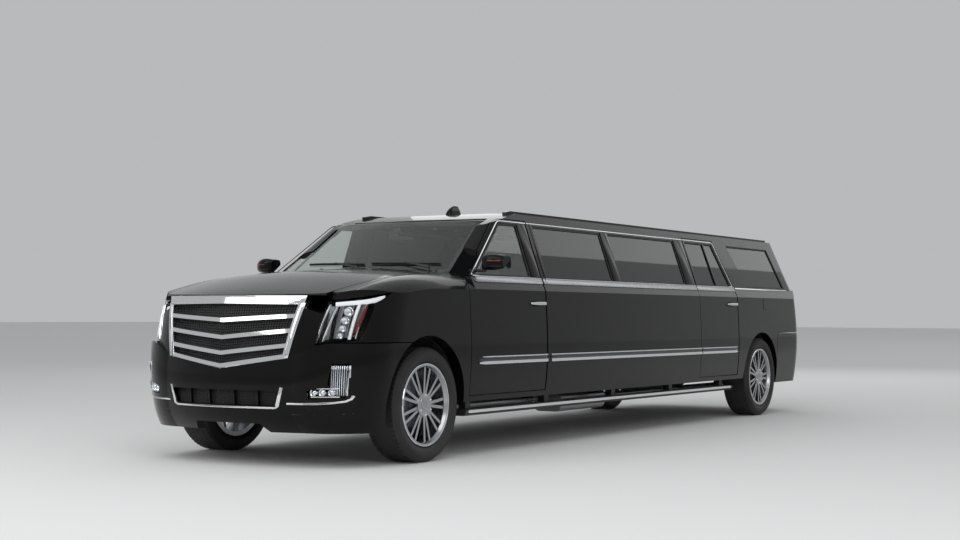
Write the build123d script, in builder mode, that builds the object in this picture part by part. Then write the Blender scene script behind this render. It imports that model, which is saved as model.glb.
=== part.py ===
"""Stretch limousine on a full-size body-on-frame SUV.

The row frame is +X to the car's left, +Y to its rear and +Z up, in millimetres.
The origin is on the ground, in the middle of the car's length and width.
Lengthwise places are given from an axle: fore(d) is d behind the front axle and
aft(d) is d behind the rear axle, so that a longer stretch moves only what is behind it.
"""

import os

from build123d import *

os.makedirs("parts", exist_ok=True)

# ---------------------------------------------------------------- driving dimensions
donor_wheelbase = 3302.0  # the SUV before it was cut
stretch = 3048.0  # 120 in let in behind the front doors
front_overhang = 1060.0
rear_overhang = 1335.0
wheelbase = donor_wheelbase + stretch
length = front_overhang + wheelbase + rear_overhang
front_axle_y = front_overhang - length / 2
rear_axle_y = front_axle_y + wheelbase

wheel_track = 1745.0
tyre_radius = 407.0
tyre_width = 285.0
rim_radius = 296.0  # outer flange of a 22 in rim
rim_width = 246.0
spoke_pairs = 9
arch_radius_front = 492.0
arch_radius_rear = 470.0

wall_low = 78.0  # whole door or flank, below the belt
wall_high = 40.0  # window frames and pillars
wall_belt = 45.0  # shelf along the belt
jamb = 24.0  # inner flange that a shut door lies against
jamb_lap = 30.0
seat_gap = 0.3  # between a shut panel and its seal flange
panel_gap = 7.0  # shut line
door_rear_gap = 12.0  # the door's rear edge swings back as it opens
frame_rear_gap = 20.0  # same at the window frame, further from the hinge line
glass_thickness = 6.0
glass_depth = 13.0  # of the glass behind the skin
glass_seat = 0.5
hood_thickness = 38.0

sill_z = 405.0
door_bottom_z = 449.0
belt_z = 1335.0
window_low_z = 1348.0
window_top_z = 1775.0
roof_split_z = 1809.0  # top of the door openings
roof_bottom_z = 1813.0
roof_crown_z = 1897.0
front_bumper_top = 850.0
rear_bumper_top = 869.0
floor_low_z = 530.0
floor_high_z = 760.0  # over the rear axle
floor_thickness = 30.0
floor_half_width = 850.0

front_door_front = 560.0  # from the front axle
front_door_rear = 1715.0
rear_door_length = 955.0
rear_door_rear = -632.0  # from the rear axle
rear_door_front = rear_door_rear - rear_door_length
tail_sill_half = 735.0  # sill under the tailgate
tail_sill_z = 902.0
rear_bumper_front = 443.0  # aft of the rear axle
rear_arch_front = -450.0
hood_rear_centre = 505.0
hood_rear_side = 600.0
hood_half_rear = 778.0
hood_half_front = 672.0
hood_lip_z = 1176.0
wing_inner_x = 739.0

rail_x = 350.0
rail_width = 80.0
rail_low_z = 350.0
outrigger_x = 800.0
apron_x = 415.0
kingpin_x = 790.0
kingpin_low_z = 258.0
kingpin_high_z = 560.0
arm_thickness = 34.0
hub_face_x = 902.0
joint_gap = 0.3
spoke_x = 104.0  # outer face of the spokes, from the wheel's middle
hub_bore_radius = 39.05
lug_circle_radius = 69.85
lug_count = 6
shaft_z = 446.0
shaft_radius = 45.0
gearbox_radius = 78.0
stud_hole_radius = 7.5
roof_rail_x = 700.0
driver_x = 430.0


def fore(distance):
    """Y of a place that is distance behind the front axle."""
    return front_axle_y + distance


cowl_front = fore(front_door_front) - panel_gap


def aft(distance):
    """Y of a place that is distance behind the rear axle."""
    return rear_axle_y + distance


# ---------------------------------------------------------------- body sections
# Plan sections of the lower body.
# columns: height, half width, nose centre, nose corner, flank start (from the front axle),
#          flank end, tail corner, tail centre (from the rear axle)
nose_corner_x = 560.0
tail_corner_x = 700.0
LOWER_SECTIONS = [
    (240.0, 975.0, -930.0, -855.0, -310.0, 960.0, 1235.0, 1275.0),
    (430.0, 1000.0, -1050.0, -965.0, -320.0, 980.0, 1285.0, 1330.0),
    (680.0, 1022.0, -1060.0, -975.0, -320.0, 990.0, 1290.0, 1335.0),
    (950.0, 1020.0, -1042.0, -952.0, -300.0, 990.0, 1260.0, 1305.0),
    (1235.0, 1005.0, -985.0, -880.0, -200.0, 960.0, 1190.0, 1235.0),
    (1500.0, 985.0, -900.0, -790.0, -100.0, 900.0, 1080.0, 1125.0),
]
bumper_corner = 130.0  # how much further forward the bumper's flank runs before it turns

# Plan sections of the glasshouse.
# columns: height, half width, nose corner x, nose centre, nose corner, flank start,
#          flank end, tail corner x, tail corner, tail centre
UPPER_SECTIONS = [
    (1250.0, 993.0, 893.0, 355.0, 482.0, 616.0, 977.0, 778.0, 1207.0, 1242.0),
    (1960.0, 750.5, 650.0, 1346.0, 1448.0, 1582.0, 740.0, 660.0, 970.0, 1005.0),
]

# Cross sections of the hood and the front wings' shoulders.
# columns: from the front axle, shoulder height, hood edge height, centre height
shoulder_x = 1005.0
shoulder_mid_x = 925.0
shoulder_fullness = 20.0
hood_edge_x = 800.0
NOSE_SECTIONS = [
    (-1120.0, 1040.0, 1080.0, 1130.0),
    (-960.0, 1050.0, 1138.0, 1192.0),
    (-734.0, 1100.0, 1198.0, 1254.0),
    (-450.0, 1168.0, 1265.0, 1316.0),
    (-100.0, 1222.0, 1324.0, 1366.0),
    (336.0, 1236.0, 1350.0, 1396.0),
    (640.0, 1240.0, 1358.0, 1406.0),
]
nose_rear = NOSE_SECTIONS[-1][0]


def plan_outline(half, nose_x, nose, nose_side, start, end, tail_x, tail_side, tail):
    """Closed plan outline: crowned nose and tail, round corners and straight flanks."""
    ThreePointArc((-nose_x, nose_side), (0, nose), (nose_x, nose_side))
    for side in (1, -1):
        TangentArc([(side * half, start), (side * nose_x, nose_side)], tangent=(0, -1))
        Line((side * half, start), (side * half, end))
        TangentArc([(side * half, end), (side * tail_x, tail_side)], tangent=(0, 1))
    ThreePointArc((-tail_x, tail_side), (0, tail), (tail_x, tail_side))


def lower_envelope(inset, corner=0.0):
    """Lower body block, inset from the outer skin, its front corners squarer by corner."""
    with BuildPart() as block:
        for z, half, nose, nose_side, start, end, tail_side, tail in LOWER_SECTIONS:
            with BuildSketch(Plane.XY.offset(z)):
                with BuildLine():
                    plan_outline(
                        half - inset, nose_corner_x, fore(nose + inset), fore(nose_side + inset),
                        fore(start - corner), aft(end), tail_corner_x, aft(tail_side - inset), aft(tail - inset),
                    )
                make_face()
        loft()
    return block.part


def upper_envelope(inset, low, high):
    """Glasshouse block between two heights, inset from the outer skin."""
    (z0, *first), (z1, *last) = UPPER_SECTIONS
    with BuildPart() as block:
        for z in (low, high):
            t = (z - z0) / (z1 - z0)
            half, nose_x, nose, nose_side, start, end, tail_x, tail_side, tail = (
                a + (b - a) * t for a, b in zip(first, last)
            )
            with BuildSketch(Plane.XY.offset(z)):
                with BuildLine():
                    plan_outline(
                        half - inset, nose_x - inset / 2, fore(nose + inset), fore(nose_side + inset),
                        fore(start), aft(end), tail_x - inset / 2, aft(tail_side - inset), aft(tail - inset),
                    )
                make_face()
        loft(ruled=True)
    return block.part


def nose_cap(drop):
    """Block under the hood and shoulder surface, lowered by drop."""
    edge_x = shoulder_x + 95
    base = 150.0
    with BuildPart() as block:
        for y, shoulder, edge, centre in NOSE_SECTIONS:
            low, mid = shoulder - drop, (shoulder + edge) / 2 + shoulder_fullness - drop
            with BuildSketch(Plane.XZ.offset(-fore(y))):
                with BuildLine():
                    Line((-edge_x, base), (edge_x, base))
                    for side in (1, -1):
                        Line((side * edge_x, base), (side * edge_x, low - 60))
                        Line((side * edge_x, low - 60), (side * shoulder_x, low))
                        ThreePointArc(
                            (side * shoulder_x, low), (side * shoulder_mid_x, mid), (side * hood_edge_x, edge - drop)
                        )
                    ThreePointArc((hood_edge_x, edge - drop), (0, centre - drop), (-hood_edge_x, edge - drop))
                make_face()
        loft()
    return block.part


def belt_block(drop):
    """Block under the belt line, behind the hood, with the flank's sloping shoulder."""
    _, shoulder, _, _ = NOSE_SECTIONS[-1]
    edge_x = shoulder_x + 95
    with BuildPart() as block:
        with BuildSketch(Plane.XZ.offset(-fore(nose_rear))):
            with BuildLine():
                Polyline(
                    (-edge_x, 150), (edge_x, 150), (edge_x, shoulder - 60), (shoulder_x, shoulder),
                    (963 - drop * 0.3, belt_z - drop), (-963 + drop * 0.3, belt_z - drop),
                    (-shoulder_x, shoulder), (-edge_x, shoulder - 60), close=True,
                )
            make_face()
        extrude(amount=-(length))
    return block.part


def roof_cap(drop):
    """Block under the crowned roof surface, lowered by drop."""
    with BuildPart() as block:
        with BuildSketch(Plane.XZ.offset(-fore(0))):
            with BuildLine():
                Polyline((-1200, roof_crown_z - 80 - drop), (-1200, 1000), (1200, 1000), (1200, roof_crown_z - 80 - drop))
                ThreePointArc(
                    (1200, roof_crown_z - 80 - drop), (0, roof_crown_z - drop), (-1200, roof_crown_z - 80 - drop)
                )
            make_face()
        extrude(amount=-(length))
        with BuildSketch(Plane.YZ.offset(-1200)):
            with BuildLine():
                Polyline(
                    (fore(900), 1650 - drop), (fore(900), 900), (aft(1500), 900), (aft(1500), 1860 - drop),
                    (aft(1000), 1874 - drop), (aft(200), roof_crown_z - drop), (fore(2300), roof_crown_z - drop),
                )
                ThreePointArc(
                    (fore(2300), roof_crown_z - drop), (fore(1560), 1857 - drop), (fore(900), 1650 - drop)
                )
            make_face()
        extrude(amount=2400, mode=Mode.INTERSECT)
    return block.part


def intersect_all(*blocks):
    """Common part of several blocks."""
    with BuildPart() as common:
        add(blocks[0])
        for block in blocks[1:]:
            add(block, mode=Mode.INTERSECT)
    return common.part


def unite(*blocks):
    with BuildPart() as union:
        for block in blocks:
            add(block)
    return union.part


def side_by_side(*blocks):
    """Blocks that meet face to face and stay separate solids."""
    return Compound(children=[solid for block in blocks for solid in block.solids()])


def cut_away(block, *tools):
    with BuildPart() as rest:
        add(block)
        for tool in tools:
            add(tool, mode=Mode.SUBTRACT)
    return rest.part


def side_zone(points, grow=0.0, x_low=400.0, x_high=1300.0):
    """Prism along X over a side view outline of (y, z) points, grown all round."""
    with BuildPart() as zone:
        with BuildSketch(Plane.YZ.offset(x_low)):
            with BuildLine():
                Polyline(*points, close=True)
            make_face()
            if grow:
                offset(amount=grow, kind=Kind.INTERSECTION)
        extrude(amount=x_high - x_low)
    return zone.part


def front_zone(points, y_low, y_high, grow=0.0):
    """Prism along Y over a front view outline of (x, z) points, grown all round."""
    with BuildPart() as zone:
        with BuildSketch(Plane.XZ.offset(-y_low)):
            with BuildLine():
                Polyline(*points, close=True)
            make_face()
            if grow:
                offset(amount=grow, kind=Kind.INTERSECTION)
        extrude(amount=-(y_high - y_low))
    return zone.part


def box_between(low, high):
    """Box from its lowest to its highest corner."""
    with BuildPart() as block:
        with Locations([((low[0] + high[0]) / 2, (low[1] + high[1]) / 2, (low[2] + high[2]) / 2)]):
            Box(high[0] - low[0], high[1] - low[1], high[2] - low[2])
    return block.part


def mirrored(block):
    """The block's mirror image across the car's middle."""
    with BuildPart() as other:
        add(block)
        mirror(about=Plane.YZ, mode=Mode.REPLACE)
    return other.part


def axle_cylinder(radius, y, x_low, x_high, z=tyre_radius):
    """Cylinder along X about a wheel's axis."""
    with BuildPart() as cylinder:
        with BuildSketch(Plane.YZ.offset(x_low)):
            with Locations([(y, z)]):
                Circle(radius)
        extrude(amount=x_high - x_low)
    return cylinder.part


def largest(block):
    """The block without the crumbs that a cut left beside it."""
    with BuildPart() as kept:
        add(max(block.solids(), key=lambda solid: solid.volume))
    return kept.part


def save(part, name):
    part.label = name
    export_step(part, f"parts/{name}.step")


# ---------------------------------------------------------------- body shell
# The skin is as deep as a door. Fixed panels are deeper by the jamb behind the doors.
def body_block(low_inset, high_inset, hood_drop, belt_drop, roof_drop):
    """Whole body at one depth below its outer skin: nose, middle and glasshouse."""
    low = lower_envelope(low_inset)
    nose_box = box_between((-1300, fore(-1300), 100), (1300, fore(nose_rear), 1600))
    return unite(
        intersect_all(low, nose_cap(hood_drop), nose_box),
        intersect_all(low, belt_block(belt_drop)),
        intersect_all(upper_envelope(high_inset, 1250, 1960), roof_cap(roof_drop)),
    )


outer = body_block(0, 0, 0, 0, 0)
inner = body_block(wall_low, wall_high, hood_thickness, wall_belt, wall_high)
seat = body_block(
    wall_low + seat_gap, wall_high + seat_gap, hood_thickness + seat_gap, wall_belt + seat_gap, wall_high + seat_gap
)
nose_hollow = intersect_all(inner, box_between((-1300, fore(-1300), 200), (1300, fore(nose_rear), 1600)))
deep = body_block(wall_low + jamb, wall_high + jamb, hood_thickness + jamb, wall_belt + 10, wall_high + jamb)


def mirror_pair(block):
    return unite(block, mirrored(block))


arch_front = axle_cylinder(arch_radius_front, front_axle_y, 425, 1300)
arch_rear = axle_cylinder(arch_radius_rear, rear_axle_y, 600, 1300)


def front_door_outline(gap_low=0.0, gap_high=0.0):
    rear = fore(front_door_rear)
    return [
        (fore(front_door_front), door_bottom_z), (rear - gap_low, door_bottom_z), (rear - gap_low, belt_z),
        (rear - gap_high, roof_split_z), (fore(1275), roof_split_z), (fore(615), belt_z),
        (fore(front_door_front), 1245),
    ]


def rear_door_outline(gap_low=0.0, gap_high=0.0):
    rear = aft(rear_door_rear)
    return [
        (aft(rear_door_front), door_bottom_z), (rear - gap_low, door_bottom_z), (rear - gap_low, belt_z),
        (rear - 208 - gap_high, roof_split_z), (aft(rear_door_front), roof_split_z),
    ]


FRONT_WINDOW = [
    (fore(685), window_low_z), (fore(1560), window_low_z), (fore(1560), window_top_z), (fore(1284), window_top_z),
]
REAR_WINDOW = [
    (aft(-1538), window_low_z), (aft(-705), window_low_z), (aft(-878), window_top_z), (aft(-1538), window_top_z),
]
FIXED_WINDOWS = [
    [(fore(1805), window_low_z), (fore(3010), window_low_z), (fore(3010), window_top_z), (fore(1805), window_top_z)],
    [(fore(3150), window_low_z), (aft(-1800), window_low_z), (aft(-1800), window_top_z), (fore(3150), window_top_z)],
    [(aft(-280), window_low_z), (aft(800), window_low_z), (aft(640), window_top_z), (aft(-500), window_top_z)],
]
WINDSCREEN = [(-775, 1362), (775, 1362), (680, 1797), (-680, 1797)]
TAILGATE = [(-770, 872), (770, 872), (752, 1330), (640, 1960), (-640, 1960), (-752, 1330)]
REAR_SCREEN = [(-610, 1370), (610, 1370), (545, 1740), (-545, 1740)]

pane = cut_away(upper_envelope(glass_depth, 1300, 1830), upper_envelope(glass_depth + glass_thickness, 1290, 1840))


def side_pane(points):
    return intersect_all(pane, side_zone(points, -glass_seat))


# Front view of how far inboard the doors reach: the windscreen's pillar and header stay on the cowl.
DOOR_REACH = [(900, 380), (900, 1250), (914, belt_z), (752, roof_split_z), (752, 1900), (1300, 1900), (1300, 380)]


def door_zone(outline, grow):
    """Side view prism of a door, within its reach inboard."""
    return intersect_all(side_zone(outline, grow), front_zone(DOOR_REACH, fore(300), aft(0), grow))


# ---------------------------------------------------------------- doors
def door(outline, window_points):
    panel = intersect_all(cut_away(outer, inner), door_zone(outline, -panel_gap / 2))
    return cut_away(panel, side_zone(window_points))


front_door = door(front_door_outline(door_rear_gap, frame_rear_gap), FRONT_WINDOW)
rear_door = door(rear_door_outline(door_rear_gap, frame_rear_gap), REAR_WINDOW)

with BuildPart() as mirror_block:
    for x, y, z, long, high, round_by in (
        (1015, 770, 1440, 120, 105, 25), (1095, 780, 1443, 180, 122, 45), (1185, 800, 1440, 130, 95, 40)
    ):
        with BuildSketch(Plane.YZ.offset(x)):
            with Locations([(fore(y), z)]):
                RectangleRounded(long, high, round_by)
    loft()
    with BuildSketch(Plane.YZ.offset(900)):
        with Locations([(fore(748), 1374)]):
            RectangleRounded(70, 34, 12)
    extrude(amount=150)
    add(inner, mode=Mode.SUBTRACT)
    add(front_door, mode=Mode.SUBTRACT)
    add(side_zone(FRONT_WINDOW), mode=Mode.SUBTRACT)
door_mirror = largest(mirror_block.part)

for side, turned in (("left", lambda block: block), ("right", mirrored)):
    save(turned(front_door), f"front_door_{side}")
    save(turned(rear_door), f"rear_door_{side}")
    save(turned(side_pane(FRONT_WINDOW)), f"front_door_glass_{side}")
    save(turned(side_pane(REAR_WINDOW)), f"rear_door_glass_{side}")
    save(turned(door_mirror), f"door_mirror_{side}")

# ---------------------------------------------------------------- tailgate and hood
tailgate_start = aft(925)
skin = cut_away(outer, inner)
tailgate_zone = front_zone(TAILGATE, tailgate_start, aft(1500), -panel_gap / 2)
tailgate_opening = front_zone(TAILGATE, tailgate_start - panel_gap, aft(1500), panel_gap / 2)
tailgate_through = front_zone(TAILGATE, tailgate_start + jamb_lap, aft(1500), -jamb_lap)
rear_screen_cut = front_zone(REAR_SCREEN, aft(900), aft(1500))
save(cut_away(intersect_all(skin, tailgate_zone), rear_screen_cut), "tailgate")
save(intersect_all(pane, front_zone(REAR_SCREEN, aft(900), aft(1500), -glass_seat)), "tailgate_glass")


def hood_prism(low, grow=0.0):
    """Plan outline of the hood as a prism upwards."""
    with BuildPart() as prism:
        with BuildSketch(Plane.XY.offset(low)):
            with BuildLine():
                Polyline(
                    (hood_half_rear, fore(hood_rear_side)), (hood_half_rear, fore(-300)),
                    (hood_half_front, fore(-1200)), (-hood_half_front, fore(-1200)),
                    (-hood_half_rear, fore(-300)), (-hood_half_rear, fore(hood_rear_side)),
                )
                ThreePointArc(
                    (-hood_half_rear, fore(hood_rear_side)), (0, fore(hood_rear_centre)),
                    (hood_half_rear, fore(hood_rear_side)),
                )
            make_face()
            if grow:
                offset(amount=grow, kind=Kind.INTERSECTION)
        extrude(amount=600)
    return prism.part


save(intersect_all(cut_away(outer, nose_cap(hood_thickness)), hood_prism(hood_lip_z)), "hood")

# ---------------------------------------------------------------- fixed body
HEADLAMP_FRONT = [(735, 1128), (700, 840), (940, 880), (1040, 890), (1040, 1240), (735, 1150)]
HEADLAMP_SIDE = [
    (fore(-1100), 790), (fore(-690), 860), (fore(-560), 1115), (fore(-420), 1195), (fore(-1100), 1090),
]


def headlamp_zone(grow):
    return intersect_all(
        front_zone(HEADLAMP_FRONT, fore(-1150), fore(-300), grow), side_zone(HEADLAMP_SIDE, grow, 500)
    )


headlamp_cut = headlamp_zone(panel_gap / 2)
TAIL_LAMP = [(778, 880), (1100, 880), (1100, 1310), (778, 1310)]
tail_lamp_zone = front_zone(TAIL_LAMP, aft(1090), aft(1500))

# The left half is cut, then sliced where panels meet, and each slice is mirrored.
left_half = box_between((0, fore(-1300), 0), (1300, aft(1500), 2000))
shell_half = intersect_all(cut_away(outer, deep), left_half)
cabin_half = cut_away(
    shell_half,
    *[side_zone(points) for points in FIXED_WINDOWS],
    *[cut_away(door_zone(f(), panel_gap / 2), seat) for f in (front_door_outline, rear_door_outline)],
    *[side_zone(f(), -jamb_lap) for f in (front_door_outline, rear_door_outline)],
    arch_rear,
    front_zone(WINDSCREEN, fore(200), fore(1500)),
    cut_away(tailgate_opening, seat),
    tailgate_through,
    hood_prism(1000, panel_gap),
)


def cabin_slice(front, rear, low=sill_z, high=roof_bottom_z):
    return intersect_all(cabin_half, box_between((0, front, low), (1300, rear, high)))


front_split, rear_split = fore(1757), aft(-1590)
beside_hood = box_between((780, fore(400), 0), (1300, cowl_front, 1600))
save(mirror_pair(largest(cut_away(cabin_slice(fore(470), front_split), beside_hood))), "cowl_frame")
save(mirror_pair(cabin_slice(front_split, rear_split)), "stretch_panels")
save(mirror_pair(intersect_all(cut_away(outer, seat), tail_lamp_zone)), "tail_lamps")
rear_low = cabin_slice(rear_split, aft(rear_bumper_front), sill_z, rear_bumper_top)
rear_high = cabin_slice(rear_split, aft(1500), rear_bumper_top)
rear_panel = cut_away(
    unite(rear_low, rear_high), cut_away(tail_lamp_zone, seat),
    box_between((-1, aft(900), 800), (tail_sill_half + seat_gap, aft(1500), tail_sill_z + seat_gap)),
    box_between((-1, rear_split - 1, roof_bottom_z - 40), (roof_rail_x - 60, aft(1500), roof_bottom_z + 1)),
)
save(mirror_pair(rear_panel), "rear_quarters")
save(mirror_pair(cabin_slice(fore(900), aft(1500), roof_bottom_z, 2000)), "roof_panel")

# nose: wings, bumper, grille and lamps
nose_skin = intersect_all(cut_away(outer, nose_hollow), left_half)
GRILLE = [(-612, 1165), (612, 1165), (517, 748), (0, 673), (-517, 748)]
GRILLE_OPENING = [(-620, 1200), (620, 1200), (612, 1165), (517, 748), (0, 673), (-517, 748), (-612, 1165)]
INTAKE = [(-480, 530), (480, 530), (436, 425), (-436, 425)]
FOG_LAMP = [(905, 715), (815, 712), (790, 560), (665, 532), (672, 478), (880, 486)]
grille_cut = front_zone(GRILLE_OPENING, fore(-1150), fore(-800))
intake_cut = front_zone(INTAKE, fore(-1150), fore(-800))
skirt_cut = front_zone([(-360, 200), (360, 200), (285, 300), (-285, 300)], fore(-1150), fore(-500))
fog_cut = front_zone(FOG_LAMP, fore(-1150), fore(-560), seat_gap)
wing = cut_away(
    intersect_all(nose_skin, box_between((wing_inner_x, fore(-760), sill_z), (1300, cowl_front, 1500))),
    headlamp_cut, arch_front, hood_prism(hood_lip_z - panel_gap, panel_gap),
    box_between((0, fore(-1300), 0), (1300, fore(-100), front_bumper_top + panel_gap)),
)
save(mirror_pair(wing), "front_wings")
# The bumper's cheeks stand proud of the face between grille and headlamp, below a crease.
CHEEKS = [(0, 200), (1300, 200), (1300, front_bumper_top), (790, front_bumper_top), (743, 838), (582, 779), (0, 700)]
cheek_block = intersect_all(lower_envelope(0, bumper_corner), front_zone(CHEEKS, fore(-1300), fore(-100)))
cheek_skin = cut_away(cheek_block, nose_hollow)
face_skin = intersect_all(
    nose_skin, front_zone([*CHEEKS[:1:-1], (0, 1300)], fore(-1300), fore(-640)),
    box_between((-735, fore(-1300), 200), (735, fore(-640), hood_lip_z - panel_gap)),
)
bumper = cut_away(
    unite(cheek_skin, face_skin), headlamp_cut, arch_front, grille_cut, intake_cut, fog_cut, skirt_cut
)
save(mirror_pair(bumper), "front_bumper")
save(mirror_pair(intersect_all(nose_skin, headlamp_zone(-panel_gap / 2))), "headlamps")
fog_lamp = intersect_all(cheek_skin, front_zone(FOG_LAMP, fore(-1150), fore(-560)))
save(mirror_pair(fog_lamp), "fog_lamps")

# columns: height at the side, height in the middle, thickness
GRILLE_BARS = [(1138, 1144, 50), (1037, 1005, 28), (939, 887, 28), (838, 780, 28), (765, 692, 28)]
grille_side_width = 34
mesh_plate = cut_away(lower_envelope(52), lower_envelope(60))
grille_parts = [intersect_all(mesh_plate, front_zone(GRILLE, fore(-1150), fore(-800), -glass_seat))]
grille_band = cut_away(lower_envelope(4), lower_envelope(54))
for side_z, middle_z, tall in GRILLE_BARS:
    half = 612 - (1165 - side_z) * 95 / 417 - 2
    outline = [
        (-half, side_z - tall / 2), (0, middle_z - tall / 2), (half, side_z - tall / 2),
        (half, side_z + tall / 2), (0, middle_z + tall / 2), (-half, side_z + tall / 2),
    ]
    grille_parts.append(
        intersect_all(
            grille_band,
            intersect_all(
                front_zone(outline, fore(-1150), fore(-800)), front_zone(GRILLE, fore(-1150), fore(-800), -glass_seat)
            ),
        )
    )
side_frame = [(612, 1165), (517, 748), (517 - grille_side_width, 740), (612 - grille_side_width, 1165)]
grille_side = intersect_all(grille_band, front_zone(side_frame, fore(-1150), fore(-800)))
grille_side = intersect_all(grille_side, front_zone(GRILLE, fore(-1150), fore(-800), -glass_seat))
save(unite(*grille_parts, mirror_pair(grille_side)), "grille")

# rear bumper
bumper_rear = intersect_all(
    cut_away(outer, inner),
    box_between((-1300, aft(rear_bumper_front + panel_gap), 330), (1300, aft(1500), rear_bumper_top - panel_gap)),
)
bumper_rear = cut_away(bumper_rear, arch_rear, mirrored(arch_rear))
corner_box = box_between((tail_corner_x, aft(0), 0), (1300, aft(1500), 1000))
middle_box = box_between((-tail_corner_x, aft(0), 0), (tail_corner_x, aft(1500), 1000))
save(
    side_by_side(*[intersect_all(bumper_rear, box) for box in (middle_box, corner_box, mirrored(corner_box))]),
    "rear_bumper",
)

# glass
save(intersect_all(pane, front_zone(WINDSCREEN, fore(200), fore(1500), -glass_seat)), "windscreen")
save(mirror_pair(unite(*[side_pane(points) for points in FIXED_WINDOWS])), "side_glass")

# ---------------------------------------------------------------- chassis
rail_path = [
    (fore(-880), 400), (fore(-500), 400), (fore(-250), rail_low_z), (aft(-560), rail_low_z), (aft(-300), 505),
    (aft(300), 505), (aft(560), 440), (aft(1180), 440), (aft(1180), 560), (aft(600), 560), (aft(330), floor_high_z),
    (aft(-330), floor_high_z), (aft(-600), floor_low_z), (fore(430), floor_low_z), (fore(-250), 510), (fore(-500), 510),
    (fore(-880), 510),
]
left_rail = side_zone(rail_path, 0, rail_x - rail_width / 2, rail_x + rail_width / 2)


def drive_shaft(radius):
    """Straight run from the gearbox to the rear axle."""
    with BuildPart() as shaft:
        with BuildSketch(Plane.XZ.offset(-fore(1000))):
            with Locations([(0, shaft_z)]):
                Circle(radius)
        with BuildSketch(Plane.XZ.offset(-aft(-100))):
            with Locations([(0, tyre_radius)]):
                Circle(radius)
        loft()
    return shaft.part


# Each rail is the SUV's own, cut and spliced to the length let in: nose, middle and tail.
rail_splices = (fore(-900), fore(430), aft(-600), aft(1300))
rails = [
    intersect_all(left_rail, box_between((0, front, 0), (outrigger_x, rear, 1000)))
    for front, rear in zip(rail_splices, rail_splices[1:])
]
inner_face, outer_face = rail_x - rail_width / 2, rail_x + rail_width / 2
bay_count = 5
bays = [fore(1700) + (aft(-600) - fore(1700)) * i / (bay_count - 1) for i in range(bay_count)]
cross_members = [
    box_between((-inner_face, y - 50, rail_low_z + 10), (inner_face, y + 50, floor_low_z - 20)) for y in bays
]
cross_members += [
    box_between((-outer_face, fore(650), rail_low_z - 60), (outer_face, fore(750), rail_low_z)),
    box_between((-outer_face, fore(-60), rail_low_z - 50), (outer_face, fore(60), rail_low_z)),
    box_between((-inner_face, aft(1080), 450), (inner_face, aft(1160), 550)),
]
out_riggers = [
    box_between((outer_face, y - 40, rail_low_z + 60), (outrigger_x, y + 40, floor_low_z))
    for y in (fore(700), *bays[:-1])
]
front_beam = intersect_all(nose_hollow, box_between((-640, fore(-1100), 410), (640, fore(-880), 505)))
rear_beam = intersect_all(inner, box_between((-640, aft(1180), 450), (640, aft(1400), 550)))
shaft_tunnel = drive_shaft(shaft_radius + 12)
ladder = [*rails, *out_riggers]
ladder += [mirrored(block) for block in ladder]
ladder += [cut_away(member, shaft_tunnel) for member in cross_members]
save(side_by_side(*ladder, front_beam, rear_beam), "ladder_frame")

floor_shape = [
    (fore(590), floor_low_z), (aft(-640), floor_low_z), (aft(-370), floor_high_z), (aft(1190), floor_high_z),
    (aft(1190), floor_high_z + floor_thickness), (aft(-390), floor_high_z + floor_thickness),
    (aft(-660), floor_low_z + floor_thickness), (fore(590), floor_low_z + floor_thickness),
]
floor_half = side_zone(floor_shape, 0, 0, floor_half_width)
tail_sill = intersect_all(
    seat, box_between((0, aft(1150), floor_high_z), (tail_sill_half, aft(1500), tail_sill_z))
)
save(mirror_pair(unite(cut_away(intersect_all(floor_half, deep), arch_rear), tail_sill)), "floor_pan")
sill_bar = box_between(
    (outrigger_x, cowl_front, sill_z + 30), (floor_half_width + 60, aft(rear_arch_front), floor_low_z)
)
save(mirror_pair(intersect_all(sill_bar, deep)), "inner_sills")

# engine bay: bulkhead, aprons along the engine and the panel that carries the radiator
apron = side_zone(
    [(fore(-700), 510), (fore(-250), 510), (fore(430), floor_low_z), (fore(590), floor_low_z), (fore(590), 1210),
     (fore(-700), 1090)],
    0, apron_x, apron_x + 8,
)
apron = cut_away(apron, box_between((apron_x - 10, fore(-140), 500), (apron_x + 20, fore(140), kingpin_high_z + 40)))
bulkhead = intersect_all(deep, box_between((-1300, fore(566), floor_low_z), (1300, fore(590), 1330)))
shelf = cut_away(
    intersect_all(nose_hollow, box_between((apron_x, fore(-700), 1040), (1300, cowl_front, 1064))), arch_front
)
radiator_panel = cut_away(
    intersect_all(nose_hollow, box_between((-apron_x - 60, fore(-724), 510), (apron_x + 60, fore(-700), 1090))),
    box_between((-300, fore(-800), 560), (300, fore(-600), 1040)),
)
hood_stops = [box_between((x - 20, fore(y - 20), 1050), (x + 20, fore(y + 20), 1500)) for x, y in ((600, -560), (600, 400))]
stops = intersect_all(seat, unite(*hood_stops))
save(unite(bulkhead, radiator_panel, mirror_pair(unite(apron, shelf, stops))), "engine_bay")

with BuildPart() as engine_block:
    with Locations([(0, fore(60), 700)]):
        Box(340, 560, 400)
    for side in (1, -1):
        with Locations([Location((side * 175, fore(60), 880), (0, side * 35, 0))]):
            Box(170, 520, 230)
    for y0, z0, r0, y1, z1, r1 in ((335, 600, 170, 540, shaft_z, gearbox_radius), (540, shaft_z, gearbox_radius, 1000, shaft_z, 60)):
        with BuildSketch(Plane.XZ.offset(-fore(y0))):
            with Locations([(0, z0)]):
                Circle(r0)
        with BuildSketch(Plane.XZ.offset(-fore(y1))):
            with Locations([(0, z1)]):
                Circle(r1)
        loft()
    with Locations([(0, fore(60), 450)]):
        Box(2 * (rail_x - rail_width / 2), 90, 100)
    fillet(engine_block.edges().filter_by(Axis.Y).group_by(Axis.Z)[-1], 20)
save(engine_block.part, "engine_block")

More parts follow.
